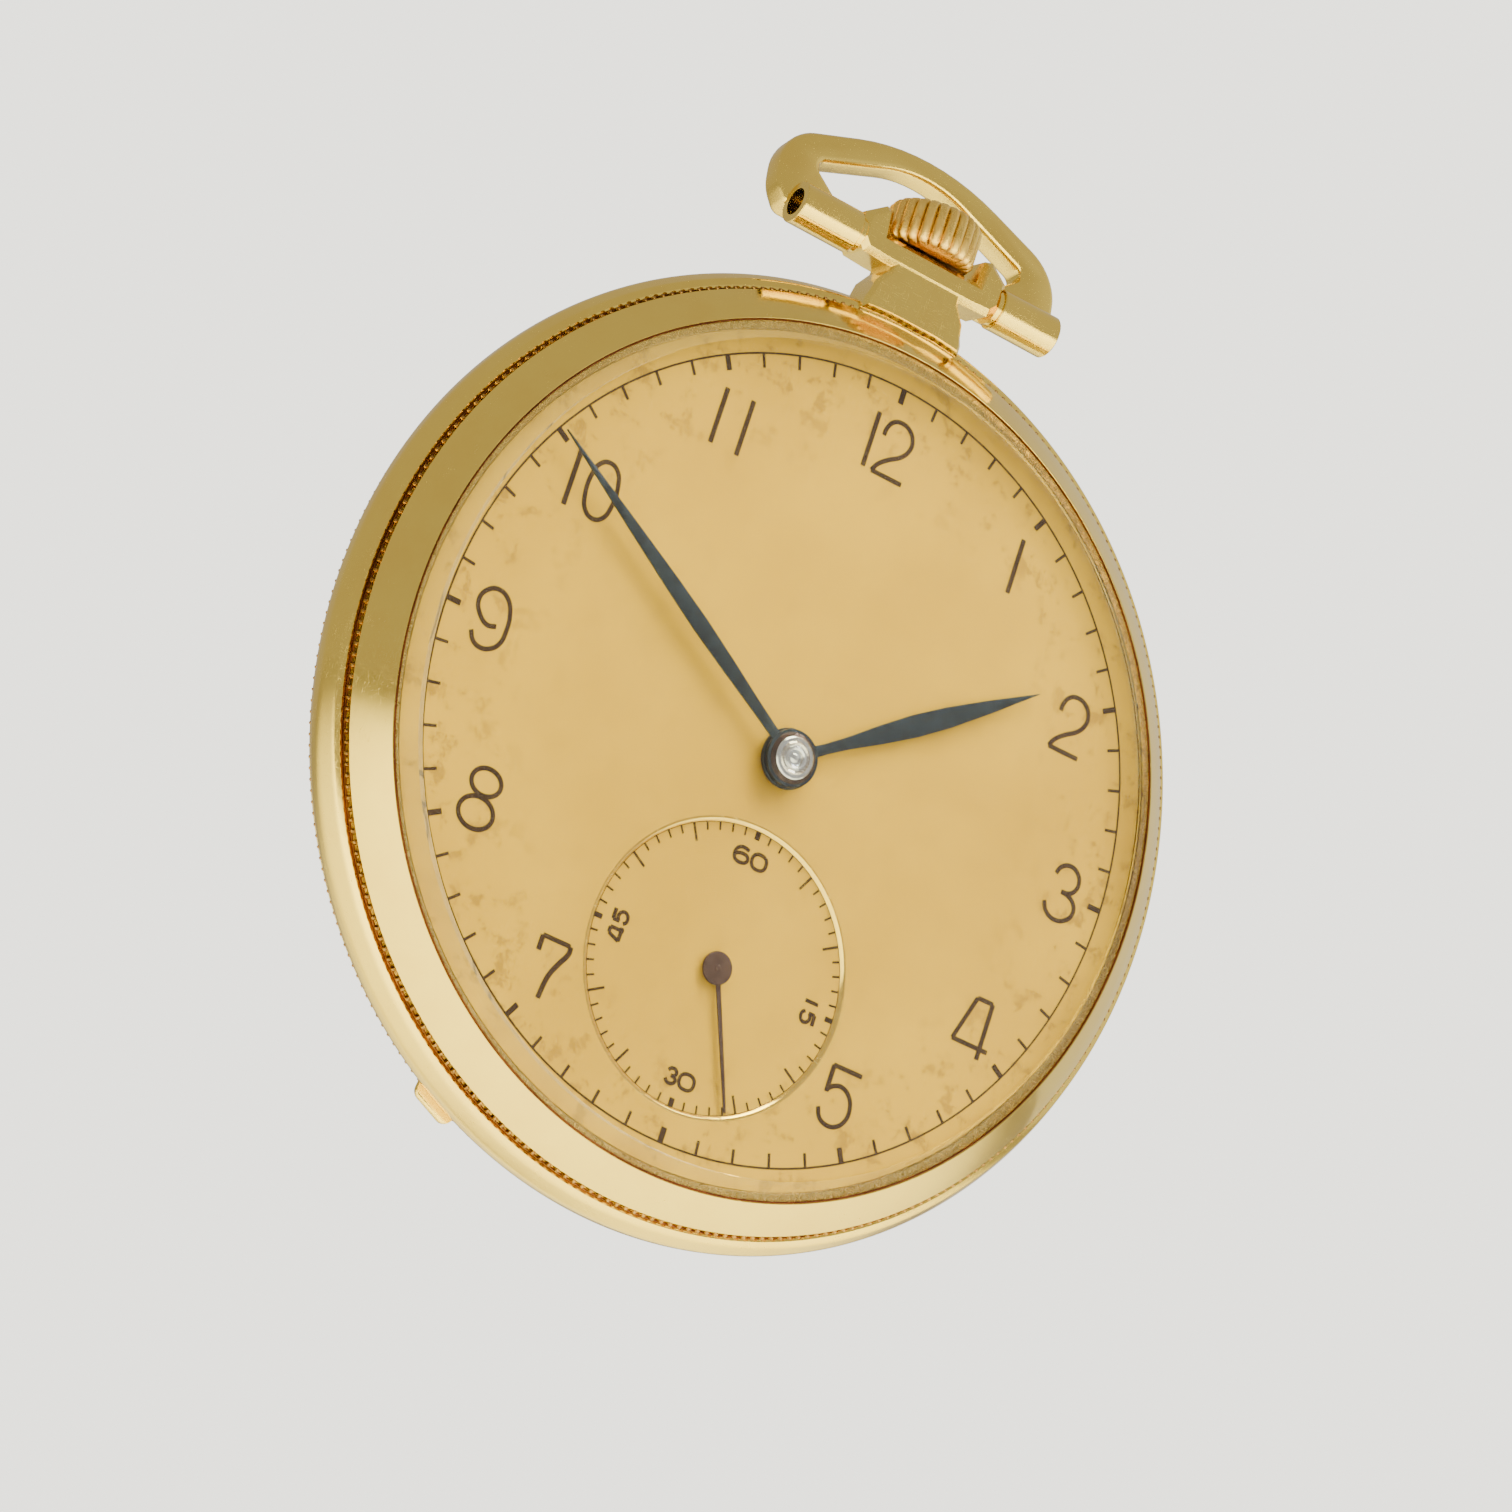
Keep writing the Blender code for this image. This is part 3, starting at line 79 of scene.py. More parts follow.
CROWN_RADIUS = 2.47
CROWN_SHOULDER = 2.0              # height above its foot where the crown's side ends
BEADS = 280                       # in each knurled edge
FULL_TURN = 2 * pi


# ---- mesh helpers ------------------------------------------------------------------------------------
def spun(profile, steps=192):
    """Solid of revolution about the watch's axis from (radius, depth) points."""
    bm = bmesh.new()
    ring = [bm.verts.new((radius, depth, 0)) for radius, depth in profile]
    pairs = list(zip(ring, ring[1:]))
    if profile[0][0] > 0 or profile[-1][0] > 0:
        pairs.append((ring[-1], ring[0]))
    edges = [bm.edges.new(pair) for pair in pairs]
    bmesh.ops.spin(bm, geom=ring + edges, cent=(0, 0, 0), axis=(0, 1, 0), angle=FULL_TURN,
                   steps=steps, use_merge=True)
    return cleaned(bm)


def cleaned(bm):
    """Merges doubles, drops slivers and turns the faces outwards."""
    bmesh.ops.remove_doubles(bm, verts=bm.verts, dist=1e-4)
    bmesh.ops.dissolve_degenerate(bm, dist=1e-5, edges=bm.edges)
    bmesh.ops.recalc_face_normals(bm, faces=bm.faces)
    return bm


def plate(loops, near, far):
    """Flat solid between two depths from an outline and its holes, as (x, z) points."""
    bm = bmesh.new()
    edges = []
    for loop in loops:
        verts = [bm.verts.new((x, near, z)) for x, z in loop]
        edges += [bm.edges.new((verts[i - 1], verts[i])) for i in range(len(verts))]
    bmesh.ops.triangle_fill(bm, use_beauty=True, use_dissolve=True, edges=edges, normal=(0, -1, 0))
    lifted = bmesh.ops.extrude_face_region(bm, geom=bm.faces[:])["geom"]
    bmesh.ops.translate(bm, verts=[v for v in lifted if isinstance(v, bmesh.types.BMVert)],
                        vec=(0, far - near, 0))
    return cleaned(bm)


def circle(radius, steps, centre=(0.0, 0.0)):
    """Closed outline of a circle, from +x towards +z."""
    angles = [FULL_TURN * i / steps for i in range(steps)]
    return [(centre[0] + radius * cos(a), centre[1] + radius * sin(a)) for a in angles]


def rounded(corners, steps=8):
    """Outline whose corners (x, z, radius) are replaced by arcs."""
    points = []
    for i, (x, z, radius) in enumerate(corners):
        here = Vector((x, z))
        before = Vector(corners[i - 1][:2]) - here
        after = Vector(corners[(i + 1) % len(corners)][:2]) - here
        if radius == 0:
            points.append((x, z))
            continue
        half = before.angle(after) / 2
        reach = radius * cos(half) / sin(half)
        centre = here + (before.normalized() + after.normalized()).normalized() * radius / sin(half)
        first = here + before.normalized() * reach - centre
        sweep = (here + after.normalized() * reach - centre).angle_signed(first)
        points += [tuple(centre + Matrix.Rotation(sweep * k / steps, 2) @ first) for k in range(steps + 1)]
    return points


def both_sides(half):
    """Outline of (x, z, ...) points followed by their mirror image."""
    return half + [(-x, *rest) for x, *rest in reversed(half)]


def turn(bm, angle, axis):
    """Turns a mesh about an axis through the dial's centre."""
    bmesh.ops.rotate(bm, verts=bm.verts, cent=(0, 0, 0), matrix=Matrix.Rotation(angle, 3, axis))
    return bm


def shift(bm, x=0.0, depth=0.0, z=0.0):
    """Moves a mesh."""
    bmesh.ops.translate(bm, verts=bm.verts, vec=(x, depth, z))
    return bm


def merged(*parts):
    """One bmesh from several, freeing them."""
    whole = bmesh.new()
    for part in parts:
        mesh = bpy.data.meshes.new("part")
        part.to_mesh(mesh)
        part.free()
        whole.from_mesh(mesh)
        bpy.data.meshes.remove(mesh)
    return whole


def eased(bm, width):
    """Small rounds on every edge sharper than 25 degrees."""
    edges = [e for e in bm.edges if len(e.link_faces) == 2 and e.calc_face_angle(0) > radians(25)]
    bmesh.ops.bevel(bm, geom=edges, offset=width, offset_type="OFFSET", affect="EDGES", segments=2,
                    profile=0.5, material=-1, clamp_overlap=True)
    return bm


def rimmed(bm, width, segments):
    """Rounds or chamfers round a plate's front and back faces."""
    edges = [e for e in bm.edges if e.calc_face_angle(0) > radians(60)
             and abs(e.verts[0].co.y - e.verts[1].co.y) < 1e-6]
    bmesh.ops.bevel(bm, geom=edges, offset=width, offset_type="OFFSET", affect="EDGES", segments=segments,
                    profile=0.5, material=-1, clamp_overlap=False)
    return bm


def piece(name, bm, material, body, slot, *stands_for, sharp=40):
    """Places a finished mesh in the world, smooths it and ties it to its CAD body."""
    bmesh.ops.scale(bm, verts=bm.verts, vec=(MM, MM, MM))
    bmesh.ops.translate(bm, verts=bm.verts, vec=DIAL_CENTRE)
    mesh = bpy.data.meshes.new(name)
    bm.to_mesh(mesh)
    bm.free()
    item = bpy.data.objects.new(name, mesh)
    bpy.context.scene.collection.objects.link(item)
    mesh.materials.append(material)
    mesh.shade_smooth()
    mesh.set_sharp_from_angle(angle=radians(sharp))
    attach(item, body)
    if stands_for:
        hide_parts(*stands_for)


# ---- material helpers --------------------------------------------------------------------------------
class Nodes:
    """Short way to add and link shader nodes in one tree."""

    def __init__(self, tree):
        self.tree = tree

    def add(self, kind, values=None, **settings):
        node = self.tree.nodes.new(kind)
        for name, value in settings.items():
            setattr(node, name, value)
        for key, value in (values or {}).items():
            self.feed(node.inputs[key], value)
        return node

    def feed(self, socket, value):
        if isinstance(value, bpy.types.NodeSocket):
            self.tree.links.new(value, socket)
        else:
            socket.default_value = value

    def math(self, operation, a, b=0.0, c=0.0):
        return self.add("ShaderNodeMath", {0: a, 1: b, 2: c}, operation=operation).outputs[0]

    def mix(self, factor, a, b):
        """Colour a where the factor is 0, b where it is 1."""
        node = self.add("ShaderNodeMix", data_type="RGBA")
        self.feed(node.inputs["Factor"], factor)
        self.feed(node.inputs[6], a)
        self.feed(node.inputs[7], b)
        return node.outputs[2]

    def noise(self, coords, scale, detail=4.0, roughness=0.5):
        return self.add("ShaderNodeTexNoise", {"Vector": coords, "Scale": scale, "Detail": detail,
                                               "Roughness": roughness}).outputs["Fac"]

    def ramp(self, value, low, high):
        """0 below low, 1 above high."""
        return self.add("ShaderNodeMapRange", {"Value": value, "From Min": low, "From Max": high},
                        interpolation_type="SMOOTHSTEP").outputs[0]

    def fall(self, value, low, high):
        """1 below low, 0 above high."""
        return self.math("SUBTRACT", 1.0, self.ramp(value, low, high))

    def hypot(self, a, b):
        return self.math("SQRT", self.math("ADD", self.math("MULTIPLY", a, a), self.math("MULTIPLY", b, b)))


def group(name, inputs, outputs):
    """New shader node group; returns the group, its helper, its input and its output node."""
    tree = bpy.data.node_groups.new(name, "ShaderNodeTree")
    for label, kind, value in inputs:
        socket = tree.interface.new_socket(label, in_out="INPUT", socket_type=kind)
        if value is not None:
            socket.default_value = value
    for label, kind in outputs:
        tree.interface.new_socket(label, in_out="OUTPUT", socket_type=kind)
    return tree, Nodes(tree), tree.nodes.new("NodeGroupInput"), tree.nodes.new("NodeGroupOutput")


FLOAT, VECTOR = "NodeSocketFloat", "NodeSocketVector"


def build_watch_place():
    """Group that gives a point's place from the dial's centre, its radius and its depth, in millimetres.

    The shifts move the axis that the radius is measured from.
    """
    tree, n, inlet, outlet = group("watch_place", [("Shift X", FLOAT, 0.0), ("Shift Z", FLOAT, 0.0)],
                                   [("Place", VECTOR), ("Radius", FLOAT), ("Depth", FLOAT)])
    coords = n.add("ShaderNodeTexCoord").outputs["Object"]
    placed = n.add("ShaderNodeVectorMath", {0: coords, 1: tuple(DIAL_CENTRE)},
                   operation="SUBTRACT").outputs[0]
    placed = n.add("ShaderNodeVectorMath", {0: placed, "Scale": 1 / MM}, operation="SCALE").outputs[0]
    parts = n.add("ShaderNodeSeparateXYZ", {0: placed})
    x = n.math("SUBTRACT", parts.outputs[0], inlet.outputs["Shift X"])
    z = n.math("SUBTRACT", parts.outputs[2], inlet.outputs["Shift Z"])
    n.feed(outlet.inputs["Place"], placed)
    n.feed(outlet.inputs["Radius"], n.hypot(x, z))
    n.feed(outlet.inputs["Depth"], parts.outputs[1])
    return tree


def build_fine_wear():
    """Group of hairlines and haze for polished surfaces: tint mask, roughness and a bump height."""
    hairline_depth, dent_height, hairline_haze = -0.05, 0.4, 0.16
    tree, n, inlet, outlet = group("fine_wear", [("Place", VECTOR, None), ("Polish", FLOAT, 0.1),
                                                 ("Haze", FLOAT, 0.08), ("Patina Scale", FLOAT, 0.4)],
                                   [("Patina", FLOAT), ("Roughness", FLOAT), ("Height", FLOAT)])
    place = inlet.outputs["Place"]
    patina = n.noise(place, inlet.outputs["Patina Scale"], 6, 0.6)
    smudge = n.ramp(n.noise(place, 0.9, 5, 0.65), 0.42, 0.72)
    line_one = n.add("ShaderNodeMapping", {"Vector": place, "Rotation": (0.4, 0.9, 0.2),
                                           "Scale": (0.5, 14, 14)})
    line_two = n.add("ShaderNodeMapping", {"Vector": place, "Rotation": (1.3, 2.1, 0.8),
                                           "Scale": (16, 16, 0.6)})
    scratches = n.math("MAXIMUM", n.ramp(n.noise(line_one.outputs[0], 1.6, 2, 0.4), 0.61, 0.68),
                       n.ramp(n.noise(line_two.outputs[0], 1.3, 2, 0.4), 0.62, 0.69))
    rough = n.math("MULTIPLY_ADD", smudge, inlet.outputs["Haze"], inlet.outputs["Polish"])
    rough = n.math("MULTIPLY_ADD", scratches, hairline_haze, rough)
    dents = n.math("MULTIPLY", n.noise(place, 1.1, 2, 0.5), dent_height)
    n.feed(outlet.inputs["Patina"], n.ramp(patina, 0.35, 0.75))
    n.feed(outlet.inputs["Roughness"], rough)
    n.feed(outlet.inputs["Height"], n.math("MULTIPLY_ADD", scratches, hairline_depth, dents))
    return tree


def new_material(name):
    """Empty material with its shader on its output; returns it, its node helper and the shader."""
    material = bpy.data.materials.new(name)
    material.use_nodes = True
    material.node_tree.nodes.clear()
    n = Nodes(material.node_tree)
    shader = n.add("ShaderNodeBsdfPrincipled")
    output = n.add("ShaderNodeOutputMaterial")
    n.feed(output.inputs["Surface"], shader.outputs[0])
    return material, n, shader


def call(n, tree, **values):
    """Places a node group with the values of its inputs."""
    node = n.add("ShaderNodeGroup")
    node.node_tree = tree
    for name, value in values.items():
        n.feed(node.inputs[name.replace("_", " ")], value)
    return node


def rgb(red, green, blue):
    """Linear colour with full alpha from 8-bit display values."""
    def linear(value):
        value /= 255
        return value / 12.92 if value <= 0.04045 else ((value + 0.055) / 1.055) ** 2.4
    return (linear(red), linear(green), linear(blue), 1.0)


watch_place = build_watch_place()
fine_wear = build_fine_wear()

# ---- finishes ----------------------------------------------------------------------------------------
GRAIN_BUMP = 0.00001              # heights that a bump of 1 stands for, metres
HAIRLINE_BUMP = 0.00002
STRIPE_BUMP = 0.00003
GOLD = (0.94, 0.71, 0.14, 1.0)
GOLD_DULL = (0.89, 0.63, 0.12, 1.0)
TARNISH = rgb(92, 48, 18)


def bump(n, height, strength, distance=GRAIN_BUMP):
    return n.add("ShaderNodeBump", {"Height": height, "Strength": strength, "Distance": distance}).outputs[0]


def polished_metal(name, color, dull, polish=0.1, haze=0.08, grime=None, bump_strength=0.15):
    """Polished metal with hairlines; grime adds darker tarnish where its mask, made by a function, is 1."""
    material, n, shader = new_material(name)
    place = call(n, watch_place)
    wear = call(n, fine_wear, Place=place.outputs["Place"], Polish=polish, Haze=haze)
    most_dull, grime_haze = 0.55, 0.35
    tint = n.mix(n.math("MULTIPLY", wear.outputs["Patina"], most_dull), color, dull)
    rough = wear.outputs["Roughness"]
    if grime:
        mask = grime(n, place)
        tint = n.mix(mask, tint, TARNISH)
        rough = n.math("ADD", rough, n.math("MULTIPLY", mask, grime_haze))
    n.feed(shader.inputs["Base Color"], tint)
    n.feed(shader.inputs["Metallic"], 1.0)
    n.feed(shader.inputs["Roughness"], rough)
    n.feed(shader.inputs["Normal"], bump(n, wear.outputs["Height"], bump_strength, HAIRLINE_BUMP))
    return material


def seat_grime(n, place):
    """Tarnish along the crystal's seat and in the groove behind the beads."""
    speck = n.ramp(n.noise(place.outputs["Place"], 3.0, 4, 0.7), 0.35, 0.6)
    seat = n.fall(place.outputs["Radius"], CRYSTAL_SEAT + 0.03, CRYSTAL_SEAT + 0.17)
    groove = n.math("MULTIPLY", n.ramp(place.outputs["Depth"], BAND_FRONT - 0.23, BAND_FRONT - 0.05),
                    n.ramp(place.outputs["Radius"], BEZEL_EDGE - 0.52, BEZEL_EDGE - 0.22))
    either = n.math("MAXIMUM", n.math("MULTIPLY", seat, 0.7), groove)
    return n.math("MULTIPLY", either, n.math("MULTIPLY_ADD", speck, 0.5, 0.4))


gold = polished_metal("polished_gold", GOLD, GOLD_DULL, 0.09, 0.07)
gold_bezel = polished_metal("bezel_gold", GOLD, GOLD_DULL, 0.07, 0.06, seat_grime)
gold_satin = polished_metal("pendant_gold", GOLD, GOLD_DULL, 0.13, 0.08, bump_strength=0.2)
gold_beads = polished_metal("bead_gold", (0.44, 0.25, 0.06, 1.0), (0.16, 0.06, 0.015, 1.0), 0.22, 0.15)
groove_gold = polished_metal("groove_gold", (0.16, 0.05, 0.02, 1.0), (0.05, 0.015, 0.01, 1.0), 0.35, 0.2)


def make_crown_gold():
    """Satin gold, with painted shade between the flutes on the crown's side."""
    material, n, shader = new_material("crown_gold")
    place = call(n, watch_place)
    wear = call(n, fine_wear, Place=place.outputs["Place"], Polish=0.26, Haze=0.12)
    parts = n.add("ShaderNodeSeparateXYZ", {0: place.outputs["Place"]})
    away = n.hypot(parts.outputs[0], n.math("SUBTRACT", parts.outputs[1], STEM_DEPTH))
    side_end = CROWN_FOOT + CROWN_SHOULDER
    # Painted shade: mask of the valleys between the flutes, on the crown's side only.
    flute_shade = n.math("MULTIPLY", n.fall(away, CROWN_RADIUS - 0.29, CROWN_RADIUS - 0.11),
                    n.fall(parts.outputs[2], side_end, side_end + 0.3))
    tint = n.mix(wear.outputs["Patina"], (0.95, 0.68, 0.15, 1.0), (0.88, 0.56, 0.11, 1.0))
    # Painted shade darkens the valleys towards deep brown.
    tint = n.mix(n.math("MULTIPLY", flute_shade, 0.75), tint, (0.20, 0.07, 0.015, 1.0))
    n.feed(shader.inputs["Base Color"], tint)
    n.feed(shader.inputs["Metallic"], 1.0)
    n.feed(shader.inputs["Roughness"], wear.outputs["Roughness"])
    n.feed(shader.inputs["Normal"], bump(n, n.noise(place.outputs["Place"], 30.0, 3), 0.2, HAIRLINE_BUMP))
    return material


crown_gold = make_crown_gold()


def make_dial_gilt(name, centre, brushed):
    """Fine matt champagne gilt, stained near the dial's edge; brushed adds turned rings."""
    gilt_light, gilt_deep = (0.47, 0.300, 0.010, 1.0), (0.41, 0.255, 0.008, 1.0)
    stain = (0.20, 0.115, 0.010, 1.0)
    stains_from, stains_full = 13.5, 18.5
    material, n, shader = new_material(name)
    place = call(n, watch_place, Shift_X=centre[0], Shift_Z=centre[1])
    grain = n.noise(place.outputs["Place"], 26.0, 5, 0.7)
    broad = n.ramp(n.noise(place.outputs["Place"], 0.11, 3, 0.5), 0.3, 0.7)
    tint = n.mix(broad, gilt_light, gilt_deep)
    spots = n.ramp(n.noise(place.outputs["Place"], 0.6, 7, 0.72), 0.52, 0.62)
    outward = n.ramp(call(n, watch_place).outputs["Radius"], stains_from, stains_full)
    worn = n.math("MULTIPLY", spots, n.math("MULTIPLY_ADD", outward, 0.6, 0.08))
    n.feed(shader.inputs["Base Color"], n.mix(worn, tint, stain))
    n.feed(shader.inputs["Metallic"], 0.3)
    n.feed(shader.inputs["Specular IOR Level"], 0.25)
    n.feed(shader.inputs["Roughness"], n.math("MULTIPLY_ADD", grain, 0.12, 0.42))
    height = n.math("MULTIPLY", grain, 0.5)
    if brushed:
        rings_per_mm = 22.0
        rings = n.add("ShaderNodeTexNoise", {"W": n.math("MULTIPLY", place.outputs["Radius"], rings_per_mm),
                                             "Scale": 1.0, "Detail": 3.0},
                      noise_dimensions="1D").outputs["Fac"]
        height = n.math("MULTIPLY_ADD", rings, 2.0, height)
    n.feed(shader.inputs["Normal"], bump(n, height, 0.25))
    return material


dial_gilt = make_dial_gilt("dial_gilt", (0.0, 0.0), False)
seconds_gilt = make_dial_gilt("seconds_dial_gilt", SECONDS_AT, True)


def plain_finish(name, color, variation, metallic, roughness, grain=12.0, bump_strength=0.1, coat=0.0,
                 specular=0.5):
    """Surface with a slight drift of colour and roughness."""
    material, n, shader = new_material(name)
    place = call(n, watch_place).outputs["Place"]
    cloud = n.noise(place, grain, 4, 0.6)
    n.feed(shader.inputs["Base Color"], n.mix(n.ramp(cloud, 0.3, 0.7), color, variation))
    n.feed(shader.inputs["Metallic"], metallic)
    n.feed(shader.inputs["Roughness"], n.math("MULTIPLY_ADD", cloud, 0.12, roughness - 0.06))
    n.feed(shader.inputs["Coat Weight"], coat)
    n.feed(shader.inputs["Specular IOR Level"], specular)
    n.feed(shader.inputs["Normal"], bump(n, cloud, bump_strength))
    return material


ink = plain_finish("dial_ink", (0.016, 0.009, 0.006, 1.0), (0.026, 0.014, 0.008, 1.0), 0.0, 0.6, 6.0,
                   specular=0.1)
blued = plain_finish("blued_steel", (0.030, 0.046, 0.075, 1.0), (0.018, 0.027, 0.045, 1.0), 0.8, 0.32, 2.0)
plum = plain_finish("plum_steel", (0.075, 0.048, 0.050, 1.0), (0.045, 0.026, 0.028, 1.0), 0.7, 0.38, 3.0)
dark_steel = plain_finish("tempered_steel", (0.05, 0.032, 0.032, 1.0), (0.03, 0.02, 0.022, 1.0),
                          0.7, 0.3, 3.0)
bright_steel = plain_finish("bright_steel", (0.62, 0.68, 0.80, 1.0), (0.50, 0.55, 0.66, 1.0),
                            1.0, 0.22, 3.0)
# Painted shade for the dark insides of the bow's bores.
painted_bore_shade = plain_finish("painted_bore_shade", rgb(26, 18, 14), rgb(40, 28, 20), 0.5, 0.6, 4.0)
ruby = plain_finish("ruby", rgb(190, 30, 72), rgb(160, 16, 52), 0.0, 0.08, 2.0, bump_strength=0.0,
                    coat=1.0)
spring_alloy = plain_finish("spring_alloy", rgb(120, 128, 140), rgb(90, 96, 110), 1.0, 0.25, 6.0)
polished_steel = polished_metal("polished_steel", rgb(200, 200, 202), rgb(170, 172, 178), 0.14, 0.1)


def make_nickel():
    """Nickel silver bridges with broad straight stripes."""
    stripe_angle, stripe_width = radians(40), 1.1
    material, n, shader = new_material("striped_nickel")
    place = call(n, watch_place)
    cloud = n.noise(place.outputs["Place"], 8.0, 4, 0.6)
    turned = n.add("ShaderNodeMapping", {"Vector": place.outputs["Place"], "Rotation": (0, stripe_angle, 0)})
    along = n.add("ShaderNodeSeparateXYZ", {0: turned.outputs[0]}).outputs[0]
    stripe = n.math("PINGPONG", along, stripe_width)
    drawn = n.add("ShaderNodeMapping", {"Vector": turned.outputs[0], "Scale": (40, 40, 2)}).outputs[0]
    fine = n.math("MULTIPLY", n.noise(drawn, 1.0), 0.35)
    n.feed(shader.inputs["Base Color"], n.mix(cloud, rgb(214, 208, 194), rgb(196, 188, 172)))
    n.feed(shader.inputs["Metallic"], 1.0)
    n.feed(shader.inputs["Roughness"], n.math("MULTIPLY_ADD", cloud, 0.1, 0.25))
    n.feed(shader.inputs["Normal"], bump(n, n.math("ADD", stripe, fine), 0.4, STRIPE_BUMP))
    return material


def make_gilt():
    """Gilt brass of the train wheels, with a fine grain."""
    material, n, shader = new_material("gilt_brass")
    place = call(n, watch_place)
    cloud = n.noise(place.outputs["Place"], 5.0, 5, 0.6)
    tint = n.mix(n.ramp(cloud, 0.3, 0.7), rgb(226, 186, 104), rgb(204, 160, 84))
    n.feed(shader.inputs["Base Color"], tint)
    n.feed(shader.inputs["Metallic"], 1.0)
    n.feed(shader.inputs["Roughness"], n.math("MULTIPLY_ADD", cloud, 0.15, 0.2))
    n.feed(shader.inputs["Normal"], bump(n, n.noise(place.outputs["Place"], 24.0, 3), 0.2))
    return material


nickel = make_nickel()
gilt = make_gilt()


def make_crystal():
    """Clear acrylic that lets lamps through to the dial."""
    material, n, shader = new_material("clear_crystal")
    place = call(n, watch_place)
    wear = call(n, fine_wear, Place=place.outputs["Place"], Polish=0.0, Haze=0.03)
    n.feed(shader.inputs["Base Color"], rgb(253, 252, 246))
    n.feed(shader.inputs["Roughness"], wear.outputs["Roughness"])
    n.feed(shader.inputs["IOR"], 1.35)
    n.feed(shader.inputs["Transmission Weight"], 1.0)
    n.feed(shader.inputs["Normal"], bump(n, wear.outputs["Height"], 0.03))
    output = next(node for node in material.node_tree.nodes if node.type == "OUTPUT_MATERIAL")
    clear = n.add("ShaderNodeBsdfTransparent", {"Color": rgb(250, 247, 236)})
    mix = n.add("ShaderNodeMixShader")
    n.feed(mix.inputs[0], n.add("ShaderNodeLightPath").outputs["Is Shadow Ray"])
    n.feed(mix.inputs[1], shader.outputs[0])
    n.feed(mix.inputs[2], clear.outputs[0])
    n.feed(output.inputs["Surface"], mix.outputs[0])
    return material


crystal_clear = make_crystal()


def make_rim_acrylic():
    """Acrylic of the rim, mostly clear, with a painted warm tint that stands in for the gold seen through it.
    """
    material, n, shader = new_material("rim_acrylic")
    place = call(n, watch_place)
    wear = call(n, fine_wear, Place=place.outputs["Place"], Polish=0.06, Haze=0.12)
    # Painted reflection: the warm brown tint stands in for the gold seen through the bevel.
    tint = n.mix(wear.outputs["Patina"], (0.44, 0.34, 0.13, 1.0), (0.34, 0.22, 0.06, 1.0))
    n.feed(shader.inputs["Base Color"], tint)
    n.feed(shader.inputs["Roughness"], wear.outputs["Roughness"])
    n.feed(shader.inputs["Alpha"], n.math("MULTIPLY_ADD", wear.outputs["Patina"], 0.12, 0.12))
    n.feed(shader.inputs["Normal"], bump(n, wear.outputs["Height"], 0.05))
    return material


rim_clear = make_rim_acrylic()


# ---- case ----------------------------------------------------------------------------------------------
def bead_row(radius, depth, size, stretch=1.0):
    """Ring of small beads, as a knurled edge."""
    ring = bmesh.new()
    for number in range(BEADS):
        turned = Matrix.Rotation(FULL_TURN * number / BEADS, 4, "Y")
        place = turned @ Matrix.Translation((radius, depth, 0))
        bmesh.ops.create_icosphere(ring, subdivisions=1, radius=size,
                                   matrix=place @ Matrix.Diagonal((1, stretch, 1, 1)))
    return ring


def make_bezel():
    """Ring with a broad, almost flat slope, its beaded edge and the dark line round the crystal."""
    seat, inside = CRYSTAL_SEAT + 0.04, 21.55
    ledge_front, ledge_back, skirt = -0.05, 0.35, BAND_FRONT - 0.03
    section = rounded([
        (seat, -0.3, 0), (seat, -0.43, 0.03), (seat + 0.12, -0.47, 0.05), (22.3, 0.25, 8),
        (BEZEL_EDGE - 0.05, 0.95, 0.05), (BEZEL_EDGE - 0.12, 1.0, 0), (BEZEL_EDGE - 0.12, skirt, 0),
        (inside, skirt, 0), (inside, ledge_back, 0), (BEZEL_BORE, ledge_back, 0),
        (BEZEL_BORE, ledge_front, 0), (seat, ledge_front, 0)], 6)
    piece("bezel_ring", spun(section, 256), gold_bezel, "bezel", "yellow_gold", "bezel", sharp=50)
    beading = bead_row(BEZEL_EDGE - 0.04, BAND_FRONT - 0.15, 0.14, 1.1)
    piece("bezel_beading", beading, gold_beads, "bezel", "yellow_gold")
    near, far = CRYSTAL_SEAT + 0.005, CRYSTAL_SEAT + 0.1
    tarnish = spun([(near, -0.44), (near + 0.015, -0.475), (far - 0.03, -0.485), (far, -0.465),
                    (far, -0.4), (near, -0.4)])
    piece("crystal_seat_line", tarnish, groove_gold, "bezel", "yellow_gold")


def make_crystal_piece():
    """Low dome of even wall, and the bevelled rim that it springs from."""
    shoulder, wall, top, steps = 20.38, 0.45, -2.1, 14
    rise, rise_inside = 0.8, 0.78
    dome = [(shoulder * k / steps, top + rise * (k / steps) ** 2) for k in range(steps + 1)]
    inside = [(shoulder * k / steps, top + wall + rise_inside * (k / steps) ** 2)
              for k in range(steps, -1, -1)]
    piece("crystal_glass", spun(dome + inside), crystal_clear, "bezel", "crystal", "crystal", sharp=30)
    inner, foot = shoulder + 0.02, -0.08
    rim = rounded([(inner, -1.29, 0.0), (20.55, -1.17, 0.25), (CRYSTAL_SEAT - 0.05, -0.5, 0.06),
                   (CRYSTAL_SEAT, -0.42, 0.03), (CRYSTAL_SEAT, foot, 0.0), (20.95, foot, 0.0),
                   (20.9, -0.3, 0.1), (inner, -0.88, 0.0)], 3)
    piece("crystal_rim", spun(rim), rim_clear, "bezel", "crystal", sharp=30)


